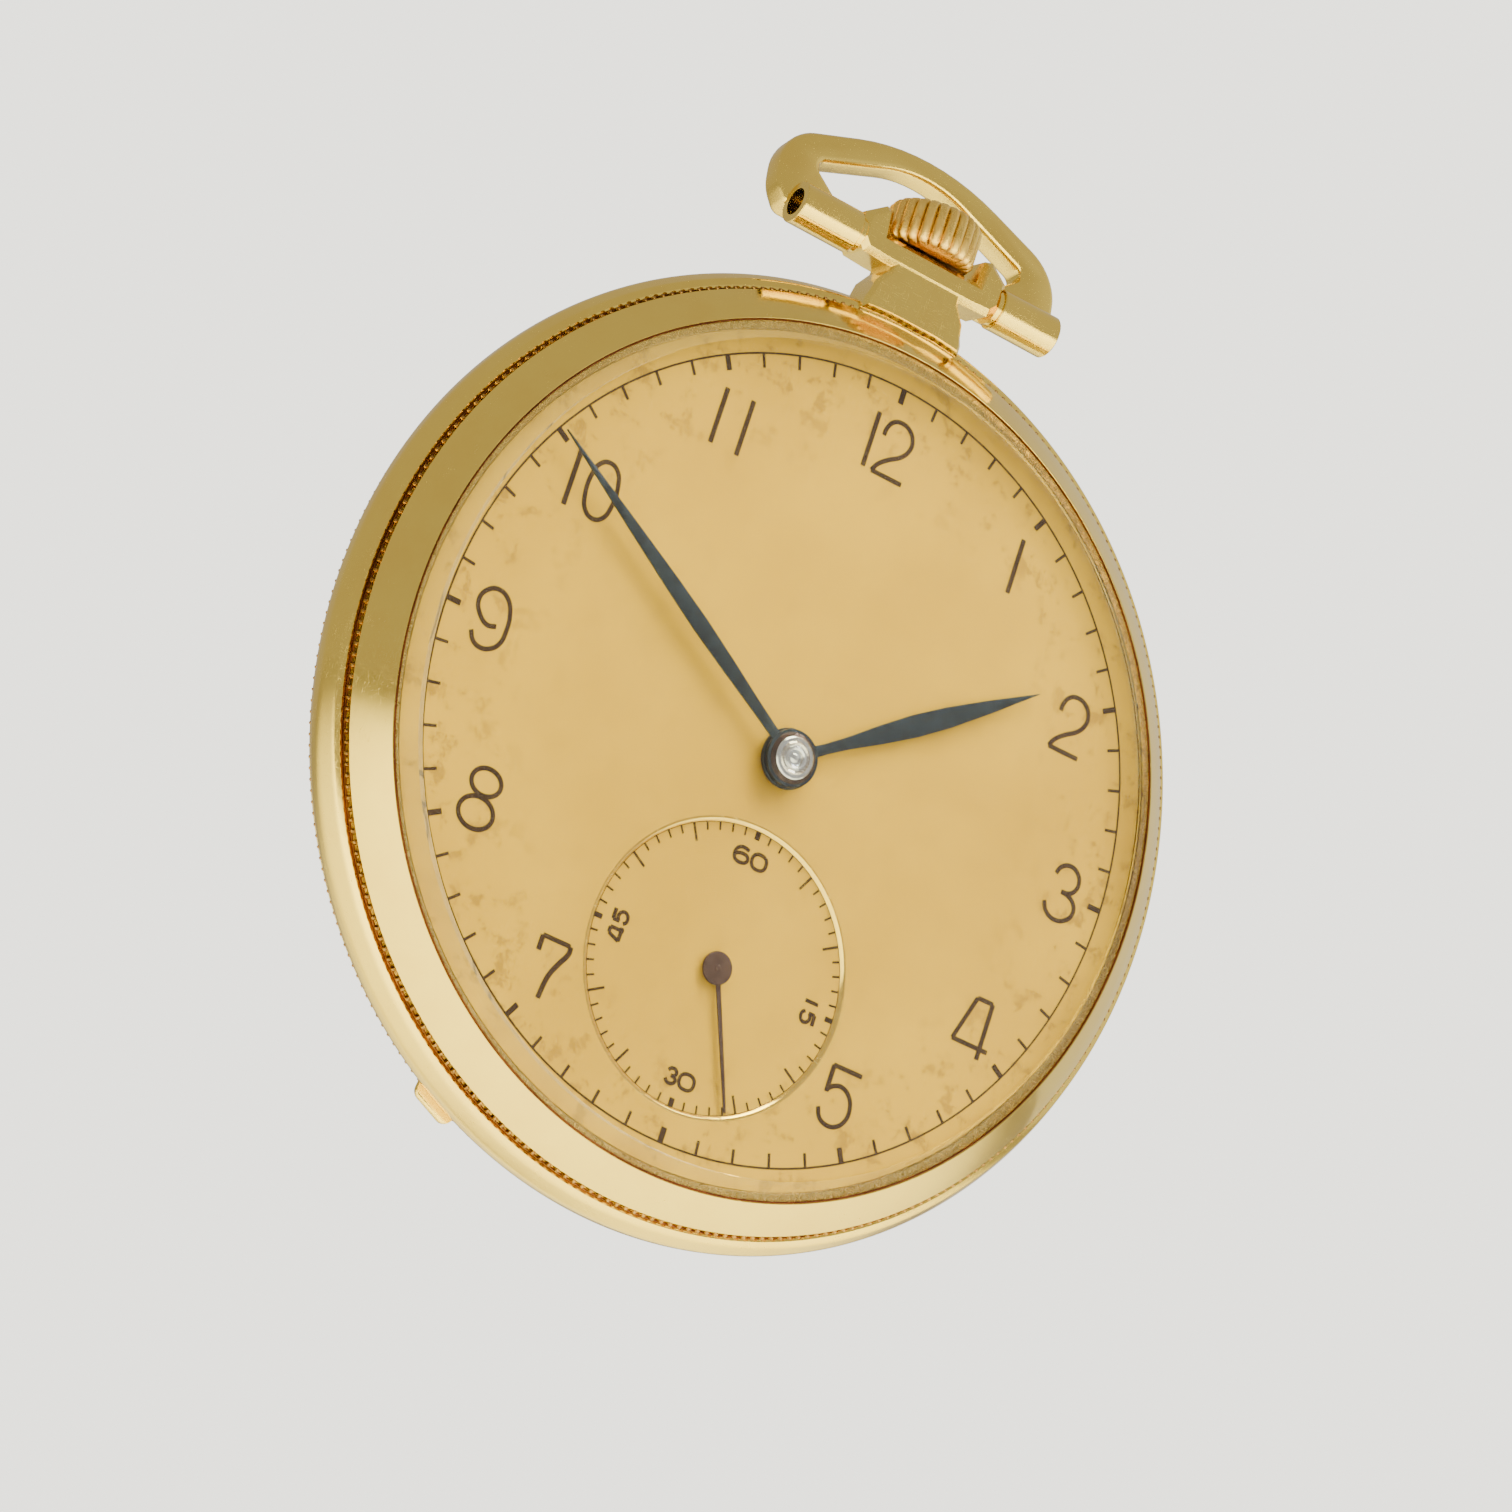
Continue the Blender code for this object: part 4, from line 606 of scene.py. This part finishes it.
def make_band():
    """Rounded case band, stepped inside for bezel, dial and movement, and its dark groove."""
    snap, front, groove_radius = 21.5, 0.38, 23.05
    dial_seat, dial_ledge, movement_bore, movement_stop = 20.73, 20.5, 20.9, 21.43
    section = rounded([
        (snap, front, 0), (snap, BAND_FRONT, 0), (groove_radius, BAND_FRONT, 0), (groove_radius, 1.42, 0),
        (groove_radius + 0.25, 1.38, 0.04), (CASE_RADIUS - 0.38, 1.5, 0.3), (CASE_RADIUS + 0.02, 2.3, 0.9),
        (CASE_RADIUS - 0.02, 3.1, 1.2), (CASE_RADIUS - 0.3, BAND_BACK - 0.03, 0.15), (23.4, BAND_BACK, 0),
        (movement_stop, BAND_BACK, 0), (movement_stop, 3.15, 0), (movement_bore, 3.15, 0),
        (movement_bore, 1.68, 0), (dial_ledge, 1.68, 0), (dial_ledge, 0.73, 0), (dial_seat, 0.73, 0),
        (dial_seat, front, 0)], 6)
    piece("case_band", spun(section, 256), gold, "case", "yellow_gold", "case_middle", sharp=50)
    inner, outer = groove_radius + 0.03, groove_radius + 0.09
    groove = spun([(inner, 1.235), (outer, 1.245), (outer, 1.36), (inner, 1.4)])
    piece("bezel_groove", groove, groove_gold, "case", "yellow_gold")


def make_back():
    """Low domed back with its snap ring, thumb lip and beaded edge."""
    seam, top, fall, steps = BAND_BACK + 0.03, 5.7, 1.5, 24
    snap_outer, snap_inner, snap_front = 21.4, 21.0, 3.18
    lip_reach, lip_angle = 24.25, radians(205)
    dome = [(23.4 * k / steps, top - fall * (k / steps) ** 6) for k in range(steps)]
    section = dome + rounded([
        (23.3, 4.25, 0), (23.55, 4.0, 0.3), (BACK_EDGE + 0.06, 3.78, 0.12), (BACK_EDGE, seam, 0),
        (snap_outer, seam, 0), (snap_outer, snap_front, 0), (snap_inner, snap_front, 0),
        (snap_inner, 3.93, 0), (19.0, 4.55, 0), (14.9, 4.9, 0), (10, 5.08, 0), (0, 5.1, 0)], 4)
    lip = plate([rounded([(-1.55, 22.8, 0), (1.55, 22.8, 0), (1.1, lip_reach, 0.5),
                          (-1.1, lip_reach, 0.5)], 8)], seam + 0.02, seam + 0.3)
    turn(eased(lip, 0.06), lip_angle, "Y")
    back = merged(spun(section, 256), lip)
    piece("back_shell", back, gold, "back_cover", "yellow_gold", "back_cover", sharp=50)
    piece("back_beading", bead_row(BACK_EDGE, 3.78, 0.11), gold_beads, "back_cover", "yellow_gold")


def make_pendant():
    """Bevelled neck and cross-head with the crown's saddle."""
    half_saddle, floor = 2.75, HEAD_TOP - 1.35
    head_half, neck_half = 1.25, 1.15           # half their thickness
    boss_radius, boss_from, boss_to = 0.98, 4.2, 4.48
    head = plate([both_sides([
        (half_saddle, floor), (half_saddle + 0.15, HEAD_TOP - 0.12), (half_saddle + 0.6, HEAD_TOP),
        (4.4, HEAD_TOP - 0.75), (4.4, HEAD_FOOT + 0.6), (3.9, HEAD_FOOT + 0.05), (2.6, HEAD_FOOT - 0.02)])],
        STEM_DEPTH - head_half, STEM_DEPTH + head_half)
    rimmed(head, 0.32, 1)
    neck = plate([both_sides([(2.1, HEAD_FOOT + 0.5), (2.15, HEAD_FOOT - 0.2), (2.72, NECK_FOOT + 0.75),
                              (2.85, NECK_FOOT + 0.1), (3.0, NECK_FOOT - 0.3), (3.0, NECK_FOOT - 0.85),
                              (1.4, NECK_FOOT - 0.7)])], STEM_DEPTH - neck_half, STEM_DEPTH + neck_half)
    rimmed(neck, 0.22, 1)
    bosses = []
    for side in (1, -1):
        near, far = boss_from * side, boss_to * side
        disc = spun([(0, near), (boss_radius, near), (boss_radius, far), (0, far)], 32)
        bosses.append(shift(turn(disc, -pi / 2, "Z"), depth=BOW_AXIS.y, z=BOW_AXIS.z))
    piece("pendant_head", merged(head, neck, *bosses), gold_satin, "case", "yellow_gold", "pendant", sharp=28)


def on_bow(bm):
    """Carries a bow part from its upright place to where the bow hangs at rest."""
    turn(bm, -BOW_LEAN, "X")
    return shift(bm, *BOW_AXIS)


def crest(rise, slope, radius):
    """Height of the corner whose arc, between two equal slopes, tops out at the rise."""
    return rise + radius * (sqrt(1 + slope ** 2) - 1)


def both_ends(profile, steps, reach):
    """Two spun tubes that lie along the bow's axis, one at each end of it."""
    ends = []
    for side in (1, -1):
        ends.append(shift(turn(spun(profile, steps), -pi / 2, "Z"), x=side * reach))
    return ends


def make_bow():
    """Stirrup bow: a rounded bar bent to a low crest, on two end tubes, with painted shade lining their
    bores.
    """
    outer_rise, outer_slope, outer_round = 7.07, 0.4, 11.8
    inner_rise, inner_slope, inner_round = 5.81, 0.42, 6.4
    half_width, half_loop, foot, near, far = 8.7, 6.8, 0.3, 0.79, 2.29
    bore, tube, tube_half, tube_place = 0.72, 1.12, 1.75, 6.24
    top = crest(outer_rise, outer_slope, outer_round)
    under = crest(inner_rise, inner_slope, inner_round)
    outer = [(0, top, outer_round), (half_width, top - outer_slope * half_width, 2.8),
             (half_width, 1.5, 2.2), (8.0, foot, 0.7)]
    inner = [(4.5, foot, 0), (4.5, 1.48, 0.6), (half_loop, under - inner_slope * half_loop, 0.45),
             (0, under, inner_round)]
    left = [(-x, z, radius) for x, z, radius in reversed(outer[1:])]
    left_inner = [(-x, z, radius) for x, z, radius in reversed(inner[:-1])]
    bar = plate([rounded(left + outer + inner + left_inner, 10)], near, far)
    rimmed(bar, 0.34, 4)
    tubes = both_ends([(bore, -tube_half), (tube - 0.04, -tube_half), (tube, 0.05 - tube_half),
                       (tube, tube_half - 0.05), (tube - 0.04, tube_half), (bore, tube_half)], 48, tube_place)
    piece("bow_loop_bar", on_bow(merged(bar, *tubes)), gold_satin, "bow", "yellow_gold", "bow", sharp=35)
    # Painted shade: thin dark sleeves round the tubes' bores stand in for the shade inside them.
    bores = both_ends([(bore + 0.01, -1.2), (bore + 0.02, -1.2), (bore + 0.02, 1.6), (bore + 0.01, 1.6)],
                      32, tube_place + 0.01)
    piece("bow_bore_shade", on_bow(merged(*bores)), painted_bore_shade, "bow", "yellow_gold")


def make_crown():
    """Crown with deep rounded flutes, a rounded shoulder and a nearly flat top."""
    flutes, deep, shallow, roundness = 24, 0.24, 0.14, 0.7
    rows = [(0.0, 0.80), (0.12, 0.93), (0.35, 1.0), (1.2, 1.0), (1.9, 1.0), (2.15, 0.97), (2.35, 0.90),
            (2.47, 0.8), (2.5, 0.68), (2.52, 0.4), (2.53, 0.15), (2.53, 0.03)]  # height, share of radius
    bm = bmesh.new()
    steps = flutes * 8
    rings = []
    for rise, share in rows:
        depth = deep if share > 0.9 else (shallow if share > 0.75 else 0.0)
        ring = []
        for k in range(steps):
            angle = FULL_TURN * k / steps
            wave = abs(sin(angle * flutes / 2)) ** roundness
            r = CROWN_RADIUS * share - depth * (1 - wave)
            ring.append(bm.verts.new((r * cos(angle), r * sin(angle), rise)))
        rings.append([bm.edges.new((ring[k - 1], ring[k])) for k in range(steps)])
    for low, high in zip(rings, rings[1:]):
        bmesh.ops.bridge_loops(bm, edges=low + high)
    for rim in (rings[0], rings[-1]):
        bmesh.ops.contextual_create(bm, geom=rim)
    cleaned(bm)
    shift(bm, depth=STEM_DEPTH, z=CROWN_FOOT)
    piece("crown_fluted", bm, crown_gold, "crown", "satin_gold", "crown", sharp=50)


# ---- dial ------------------------------------------------------------------------------------------------
MINUTES = [k for k in range(60) if k % 5]        # those between the fives
INK_PROUD = 0.004                                # how far the ink's middle stands proud of its dial
# Pen strokes of each digit as (x, z) points in shares of its height; "loop" closes a stroke. O is the
# seconds dial's broad nought.
DIGITS = {
    "0": [[(-.26, -.2), (-.26, .2), (-.17, .42), (0, .5), (.17, .42), (.26, .2), (.26, -.2), (.17, -.42),
           (0, -.5), (-.17, -.42), "loop"]],
    "O": [[(-.46, 0), (-.4, .3), (-.2, .47), (0, .5), (.2, .47), (.4, .3), (.46, 0), (.4, -.3), (.2, -.47),
           (0, -.5), (-.2, -.47), (-.4, -.3), "loop"]],
    "1": [[(0, .5), (0, -.5)]],
    "2": [[(-.27, .16), (-.26, .28), (-.17, .44), (0, .5), (.19, .44), (.3, .28), (.29, .11), (.17, -.06),
           (-.04, -.2), (-.22, -.36), (-.3, -.5)], [(-.3, -.5), (.34, -.5)]],
    "3": [[(-.23, .27), (-.17, .4), (0, .49), (.19, .43), (.275, .28), (.24, .12), (.13, .03), (-.02, .01)],
          [(-.02, .01), (.13, -.01), (.28, -.1), (.33, -.25), (.24, -.41), (.02, -.495), (-.2, -.42),
           (-.3, -.26)]],
    "4": [[(-.09, .5), (.235, .5)], [(.235, .5), (.235, -.5)], [(-.09, .5), (-.35, -.315)],
          [(-.36, -.315), (.4, -.315)]],
    "5": [[(-.26, .5), (.33, .5)], [(-.25, .5), (-.25, .03)],
          [(-.25, .08), (-.13, .17), (.02, .2), (.2, .1), (.29, -.1), (.27, -.3), (.13, -.46), (-.04, -.5),
           (-.22, -.43), (-.31, -.26)]],
    "6": [[(.36, .42), (.1, .5), (-.2, .46), (-.42, .22), (-.46, -.08), (-.38, -.34), (-.15, -.49),
           (.1, -.49), (.34, -.38), (.42, -.17), (.34, .02), (.1, .1), (-.2, .06), (-.4, -.06)]],
    "7": [[(-.26, .5), (-.26, .24)], [(-.26, .5), (.28, .5)],
          [(.29, .5), (.29, .38), (.18, .17), (.06, -.09), (0, -.5)]],
    "8": [[(-.01 + .28 * cos(k * pi / 8), .28 + .225 * sin(k * pi / 8)) for k in range(16)] + ["loop"],
          [(-.02 + .325 * cos(k * pi / 8), -.25 + .265 * sin(k * pi / 8)) for k in range(16)] + ["loop"]],
    "9": [[(.13, -.09), (-.04, -.125), (-.22, -.01), (-.32, .19), (-.24, .4), (-.02, .5), (.19, .4),
           (.3, .175), (.325, -.07), (.28, -.33), (.13, -.48), (-.04, -.52), (-.19, -.46), (-.28, -.31)]],
}
# Hour: numeral's centre in shares of the track's radius, then its digits and their offsets in heights.
HOUR_NUMERALS = {
    12: ((0.010, 0.845), [("1", -.39), ("2", .09)]), 1: ((0.459, 0.72), [("1", 0)]),
    2: ((0.752, 0.409), [("2", 0)]), 3: ((0.876, 0.002), [("3", 0)]), 4: ((0.746, -0.413), [("4", 0)]),
    5: ((0.434, -0.721), [("5", 0)]), 7: ((-0.436, -0.725), [("7", 0)]), 8: ((-0.744, -0.413), [("8", 0)]),
    9: ((-0.872, -0.002), [("9", 0)]), 10: ((-0.727, 0.407), [("1", -.43), ("0", .15)]),
    11: ((-0.428, 0.717), [("1", -.28), ("1", .255)]),
}


def pen_lines(strokes, width, name):
    """Mesh of flat pen strokes from (points, closed) pairs in (x, z), as ink lying on the dial."""
    flatness = 0.12
    curve = bpy.data.curves.new(name, "CURVE")
    curve.dimensions = "3D"
    curve.bevel_depth = width / 2
    curve.bevel_resolution = 1
    curve.use_fill_caps = True
    curve.resolution_u = 6
    for points, loop in strokes:
        spline = curve.splines.new("BEZIER")
        spline.bezier_points.add(len(points) - 1)
        for knot, (x, z) in zip(spline.bezier_points, points):
            knot.co = (x, 0, z)
            knot.handle_left_type = knot.handle_right_type = "AUTO" if len(points) > 2 else "VECTOR"
        spline.use_cyclic_u = loop
    holder = bpy.data.objects.new(name, curve)
    bpy.context.scene.collection.objects.link(holder)
    bpy.context.view_layer.update()
    mesh = bpy.data.meshes.new_from_object(holder.evaluated_get(bpy.context.evaluated_depsgraph_get()))
    bpy.data.objects.remove(holder, do_unlink=True)
    bpy.data.curves.remove(curve)
    bm = bmesh.new()
    bm.from_mesh(mesh)
    bpy.data.meshes.remove(mesh)
    bmesh.ops.scale(bm, verts=bm.verts, vec=(1, flatness, 1))
    return cleaned(bm)


def digit_strokes(text, centre, height, width_share=1.0, angle=0.0):
    """Strokes of a numeral: text is a list of (digit, offset), sizes in mm, turned clockwise by angle."""
    tilt = Matrix.Rotation(-radians(angle), 2)
    result = []
    for digit, offset in text:
        for stroke in DIGITS[digit]:
            loop = stroke[-1] == "loop"
            points = stroke[:-1] if loop else stroke
            placed = []
            for x, z in points:
                spot = tilt @ Vector(((x + offset) * height * width_share, z * height))
                placed.append((centre[0] + spot.x, centre[1] + spot.y))
            result.append((placed, loop))
    return result


def tick(angle, inner, outer, centre=(0.0, 0.0)):
    """Radial stroke at a clock angle in degrees."""
    a = radians(angle)
    return [(centre[0] + r * sin(a), centre[1] + r * cos(a)) for r in (inner, outer)]


def ticks(numbers, per_turn, inner, outer, centre=(0.0, 0.0)):
    """Open radial strokes at some of the equal divisions of a turn."""
    return [(tick(360 / per_turn * k, inner, outer, centre), False) for k in numbers]


def make_dial_print():
    """Hour numerals, minute track and its circle, printed on the dial."""
    numeral_height, tick_start, hour_start = 2.9, 0.9635 * TRACK, 0.9615 * TRACK
    numerals = []
    for centre, text in HOUR_NUMERALS.values():
        numerals += digit_strokes(text, (centre[0] * TRACK, centre[1] * TRACK), numeral_height)
    minutes = ticks(MINUTES, 60, tick_start, TRACK)
    hours = ticks(range(12), 12, hour_start, TRACK)
    track = [(circle(TRACK, 96), True)]
    print_mesh = merged(pen_lines(numerals, 0.28, "numerals"), pen_lines(minutes, 0.18, "ticks"),
                        pen_lines(hours, 0.33, "hours"), pen_lines(track, 0.12, "track"))
    piece("dial_print", shift(print_mesh, depth=-INK_PROUD), ink, "case", "champagne_dial")


def make_seconds_print():
    """Small numerals, ticks and circle of the seconds dial."""
    digit_height, broadened = 0.76, 1.2
    outer, ring_radius, reach = 0.358 * TRACK, 0.359 * TRACK, 0.287 * TRACK
    fine = ticks(MINUTES, 60, 0.3365 * TRACK, outer, SECONDS_AT)
    fives = ticks([k for k in range(12) if k % 3], 12, 0.312 * TRACK, outer, SECONDS_AT)
    quarters = ticks(range(4), 4, 0.336 * TRACK, outer, SECONDS_AT)
    ring = [(circle(ring_radius, 72, SECONDS_AT), True)]
    small = []
    for text, angle, turned in (([("6", -.56), ("O", .56)], 0, 0), ([("1", -.5), ("5", .35)], 90, 90),
                                ([("3", -.5), ("O", .5)], 180, 0), ([("4", -.5), ("5", .42)], 270, -90)):
        spot = (SECONDS_AT[0] + reach * sin(radians(angle)), SECONDS_AT[1] + reach * cos(radians(angle)))
        small += digit_strokes(text, spot, digit_height, broadened, turned)
    small_print = merged(pen_lines(fine, 0.12, "seconds"), pen_lines(fives, 0.15, "fives"),
                         pen_lines(quarters, 0.3, "quarters"), pen_lines(ring, 0.11, "ring"),
                         pen_lines(small, 0.22, "small"))
    shift(small_print, depth=SECONDS_SINK - INK_PROUD)
    piece("seconds_print", small_print, ink, "case", "champagne_dial")


def make_dial():
    """Flat dial with its sunk seconds dial and the bright chamfer between them."""
    seat, thickness, arbor_hole = SECONDS_DISC + 0.02, 0.35, 0.45
    face = plate([circle(DIAL_RADIUS, 192), circle(DIAL_BORE, 48), circle(seat, 128, SECONDS_AT)],
                 0.0, thickness)
    piece("dial_face", face, dial_gilt, "case", "champagne_dial", "dial")
    disc = spun([(arbor_hole, SECONDS_SINK), (SECONDS_DISC - 0.06, SECONDS_SINK),
                 (SECONDS_DISC - 0.03, 2 * SECONDS_SINK), (arbor_hole, 2 * SECONDS_SINK)], 128)
    shift(disc, x=SECONDS_AT[0], z=SECONDS_AT[1])
    piece("seconds_face", disc, seconds_gilt, "case", "champagne_dial", "seconds_dial")
    chamfer = spun([(SECONDS_DISC - 0.13, SECONDS_SINK - 0.003), (SECONDS_DISC, 0.0),
                    (SECONDS_DISC + 0.06, -0.012), (SECONDS_DISC + 0.13, 0.0), (SECONDS_DISC, 0.2)], 128)
    shift(chamfer, x=SECONDS_AT[0], z=SECONDS_AT[1])
    piece("seconds_rim", chamfer, gold, "case", "champagne_dial")


# ---- hands ---------------------------------------------------------------------------------------------
def blade(stations, near, thickness, ridge):
    """Hand with a ridge down its middle from (distance, half width) stations."""
    full_ridge_half = 0.25          # half width below which the ridge sinks towards the point
    bm = bmesh.new()
    rows = []
    for reach, half in stations:
        crown = near - ridge * min(1, half / full_ridge_half)
        row = [(-half, near, reach), (0, crown, reach), (half, near, reach)]
        rows.append([bm.verts.new(place) for place in row])
    for low, high in zip(rows, rows[1:]):
        bm.faces.new((low[0], low[1], high[1], high[0]))
        bm.faces.new((low[1], low[2], high[2], high[1]))
    lifted = bmesh.ops.extrude_face_region(bm, geom=bm.faces[:])["geom"]
    for vert in (v for v in lifted if isinstance(v, bmesh.types.BMVert)):
        vert.co.y = near + thickness
    return cleaned(bm)


def make_hand(name, stations, near, thickness, ridge, angle, material, body, slot, hub, at=(0.0, 0.0)):
    """Blade with its hub, turned to its clock angle; it stands for the CAD hand of the same name."""
    hand = merged(blade(stations, near, thickness, ridge), hub)
    turn(hand, radians(angle), "Y")
    shift(hand, x=at[0], z=at[1])
    piece(name, hand, material, body, slot, name.replace("blade", "hand"), sharp=20)


def boss(outer, inner, near, far):
    """Hub of a hand from its radii and depths, with eased edges."""
    outline = [(inner, near, 0), (outer - 0.02, near, 0.05), (outer, far, 0.03), (inner, far, 0)]
    return spun(rounded(outline, 3), 64)


def make_hands():
    """Leaf hands at five to two and their caps; stations are (distance, half width)."""
    minute_angle, hour_angle, seconds_angle = 300, 55, 156
    minute = [(0.9, 0.3), (1.6, 0.26), (3.2, 0.29), (5.5, 0.38), (8.0, 0.44), (10.5, 0.40), (14, 0.27),
              (17.5, 0.12), (19.6, 0.02)]
    hour = [(1.2, 0.3), (2.2, 0.26), (3.5, 0.3), (5.5, 0.46), (7.5, 0.56), (9.5, 0.52), (12, 0.33),
            (14, 0.13), (15.1, 0.02)]
    seconds = [(0.3, 0.14), (0.8, 0.12), (3, 0.11), (5.5, 0.085), (6.95, 0.06)]
    make_hand("minute_blade", minute, near=-0.72, thickness=0.1, ridge=0.05, angle=minute_angle,
              material=blued, body="centre", slot="blued_steel", hub=boss(1.45, 0.67, -0.79, -0.6))
    make_hand("hour_blade", hour, near=-0.44, thickness=0.12, ridge=0.05, angle=hour_angle,
              material=blued, body="hour", slot="blued_steel", hub=boss(1.52, 1.02, -0.5, -0.28))
    make_hand("seconds_blade", seconds, near=-0.12, thickness=0.07, ridge=0.02, angle=seconds_angle,
              material=plum, body="fourth", slot="plum_steel", hub=boss(0.83, 0.16, -0.17, -0.03),
              at=SECONDS_AT)
    cap = spun([(0, -1.06), (0.16, -1.05), (0.24, -1.0), (0.27, -0.97), (0.33, -0.97), (0.4, -1.06),
                (0.5, -1.1), (0.58, -1.08), (0.62, -1.03), (0.66, -1.02), (0.98, -1.02), (1.06, -0.97),
                (1.06, -0.82), (0.0, -0.82)], 96)
    piece("centre_cap", cap, bright_steel, "centre", "polished_steel", sharp=30)
    collar = spun([(0.4, -0.84), (1.2, -0.84), (1.26, -0.8), (1.26, -0.74), (0.4, -0.74)], 64)
    piece("cap_collar", collar, dark_steel, "centre", "polished_steel")
    pivot = spun([(0, -0.24), (0.1, -0.235), (0.16, -0.2), (0.16, -0.1), (0, -0.1)], 32)
    shift(pivot, x=SECONDS_AT[0], z=SECONDS_AT[1])
    piece("seconds_pivot", pivot, plum, "fourth", "plum_steel")


make_bezel()
make_crystal_piece()
make_band()
make_back()
make_pendant()
make_bow()
make_crown()
make_dial()
make_dial_print()
make_seconds_print()
make_hands()

# ---- movement: CAD nodes keep their shape and get their finish -----------------------------------------
FINISHES = {
    "polished_steel": polished_steel, "nickel_silver": nickel, "gilt_brass": gilt,
    "spring_alloy": spring_alloy, "ruby": ruby,
}
slots = {part["node"]: part["material_slot"] for part in frame["record"]["subparts"]}
for node_name, node in frame["nodes"].items():
    finish = FINISHES.get(slots[node_name])
    if finish:
        for material_slot in node.material_slots:
            material_slot.material = finish


# ---- studio ----------------------------------------------------------------------------------------------
FLOOR_HEIGHT = -0.115             # metres, like every length of the studio
OVERHEAD = (0.0, -0.42, 0.80)
OVERHEAD_AIM = (0.0, -0.38, 0.0)
KEY = (0.22, -0.28, 0.34)


def make_camera():
    """Long lens that looks from the lower left of the dial, with the watch leaning to the right."""
    camera = bpy.data.objects.new("camera", bpy.data.cameras.new("camera"))
    bpy.context.scene.collection.objects.link(camera)
    camera.data.lens = 131.4
    camera.data.sensor_width = 36.0
    camera.data.clip_start = 0.01
    right = Vector((0.800, -0.519, 0.301)).normalized()
    back = Vector((-0.459, -0.853, -0.249))
    back = (back - right * back.dot(right)).normalized()
    up = back.cross(right)
    distance = Vector((-6.270, -11.499, -3.382))      # from the dial's centre, in track radii
    place = distance * TRACK * MM + DIAL_CENTRE
    camera.matrix_world = Matrix.Translation(place) @ Matrix((right, up, back)).transposed().to_4x4()
    bpy.context.scene.camera = camera


def make_world():
    """Pale backdrop for the camera; for reflections a dim room, brighter on the right."""
    world = bpy.data.worlds.new("studio")
    bpy.context.scene.world = world
    world.use_nodes = True
    n = Nodes(world.node_tree)
    world.node_tree.nodes.clear()
    direction = n.add("ShaderNodeSeparateXYZ", {0: n.add("ShaderNodeTexCoord").outputs["Generated"]})
    dim, bright, backdrop = (0.56, 0.50, 0.44, 1.0), (1.02, 0.96, 0.85, 1.0), (0.98, 0.96, 0.875, 1.0)
    backdrop_strength = 2.56
    room = n.mix(n.ramp(direction.outputs[0], 0.3, 0.95), dim, bright)
    lit = n.add("ShaderNodeBackground", {"Color": room, "Strength": 1.0})
    seen = n.add("ShaderNodeBackground", {"Color": backdrop, "Strength": backdrop_strength})
    mix = n.add("ShaderNodeMixShader")
    n.feed(mix.inputs[0], n.add("ShaderNodeLightPath").outputs["Is Camera Ray"])
    n.feed(mix.inputs[1], lit.outputs[0])
    n.feed(mix.inputs[2], seen.outputs[0])
    n.feed(n.add("ShaderNodeOutputWorld").inputs["Surface"], mix.outputs[0])


def softbox(name, place, aim, size, power, color, spread=pi):
    """Square area lamp aimed at a point, which polished metal doesn't mirror."""
    light = bpy.data.lights.new(name, "AREA")
    light.size = size
    light.energy = power
    light.spread = spread
    light.color = color
    item = bpy.data.objects.new(name, light)
    item.visible_glossy = False
    bpy.context.scene.collection.objects.link(item)
    item.location = place
    item.rotation_euler = (Vector(aim) - Vector(place)).to_track_quat("-Z", "Y").to_euler()


def make_floor():
    """Plain pale floor under the watch."""
    bm = bmesh.new()
    bmesh.ops.create_grid(bm, x_segments=1, y_segments=1, size=3.0)
    bmesh.ops.translate(bm, verts=bm.verts, vec=(0, 0, FLOOR_HEIGHT))
    mesh = bpy.data.meshes.new("floor")
    bm.to_mesh(mesh)
    bm.free()
    floor = bpy.data.objects.new("floor", mesh)
    bpy.context.scene.collection.objects.link(floor)
    material, n, shader = new_material("floor_pale")
    n.feed(shader.inputs["Base Color"], rgb(226, 225, 222))
    n.feed(shader.inputs["Roughness"], 0.8)
    mesh.materials.append(material)


make_camera()
make_world()
make_floor()
softbox("overhead", OVERHEAD, OVERHEAD_AIM, 0.45, 11.0, (1.0, 0.93, 0.58), radians(75))
softbox("key", KEY, DIAL_CENTRE, 0.12, 2.4, (1.0, 0.93, 0.76))
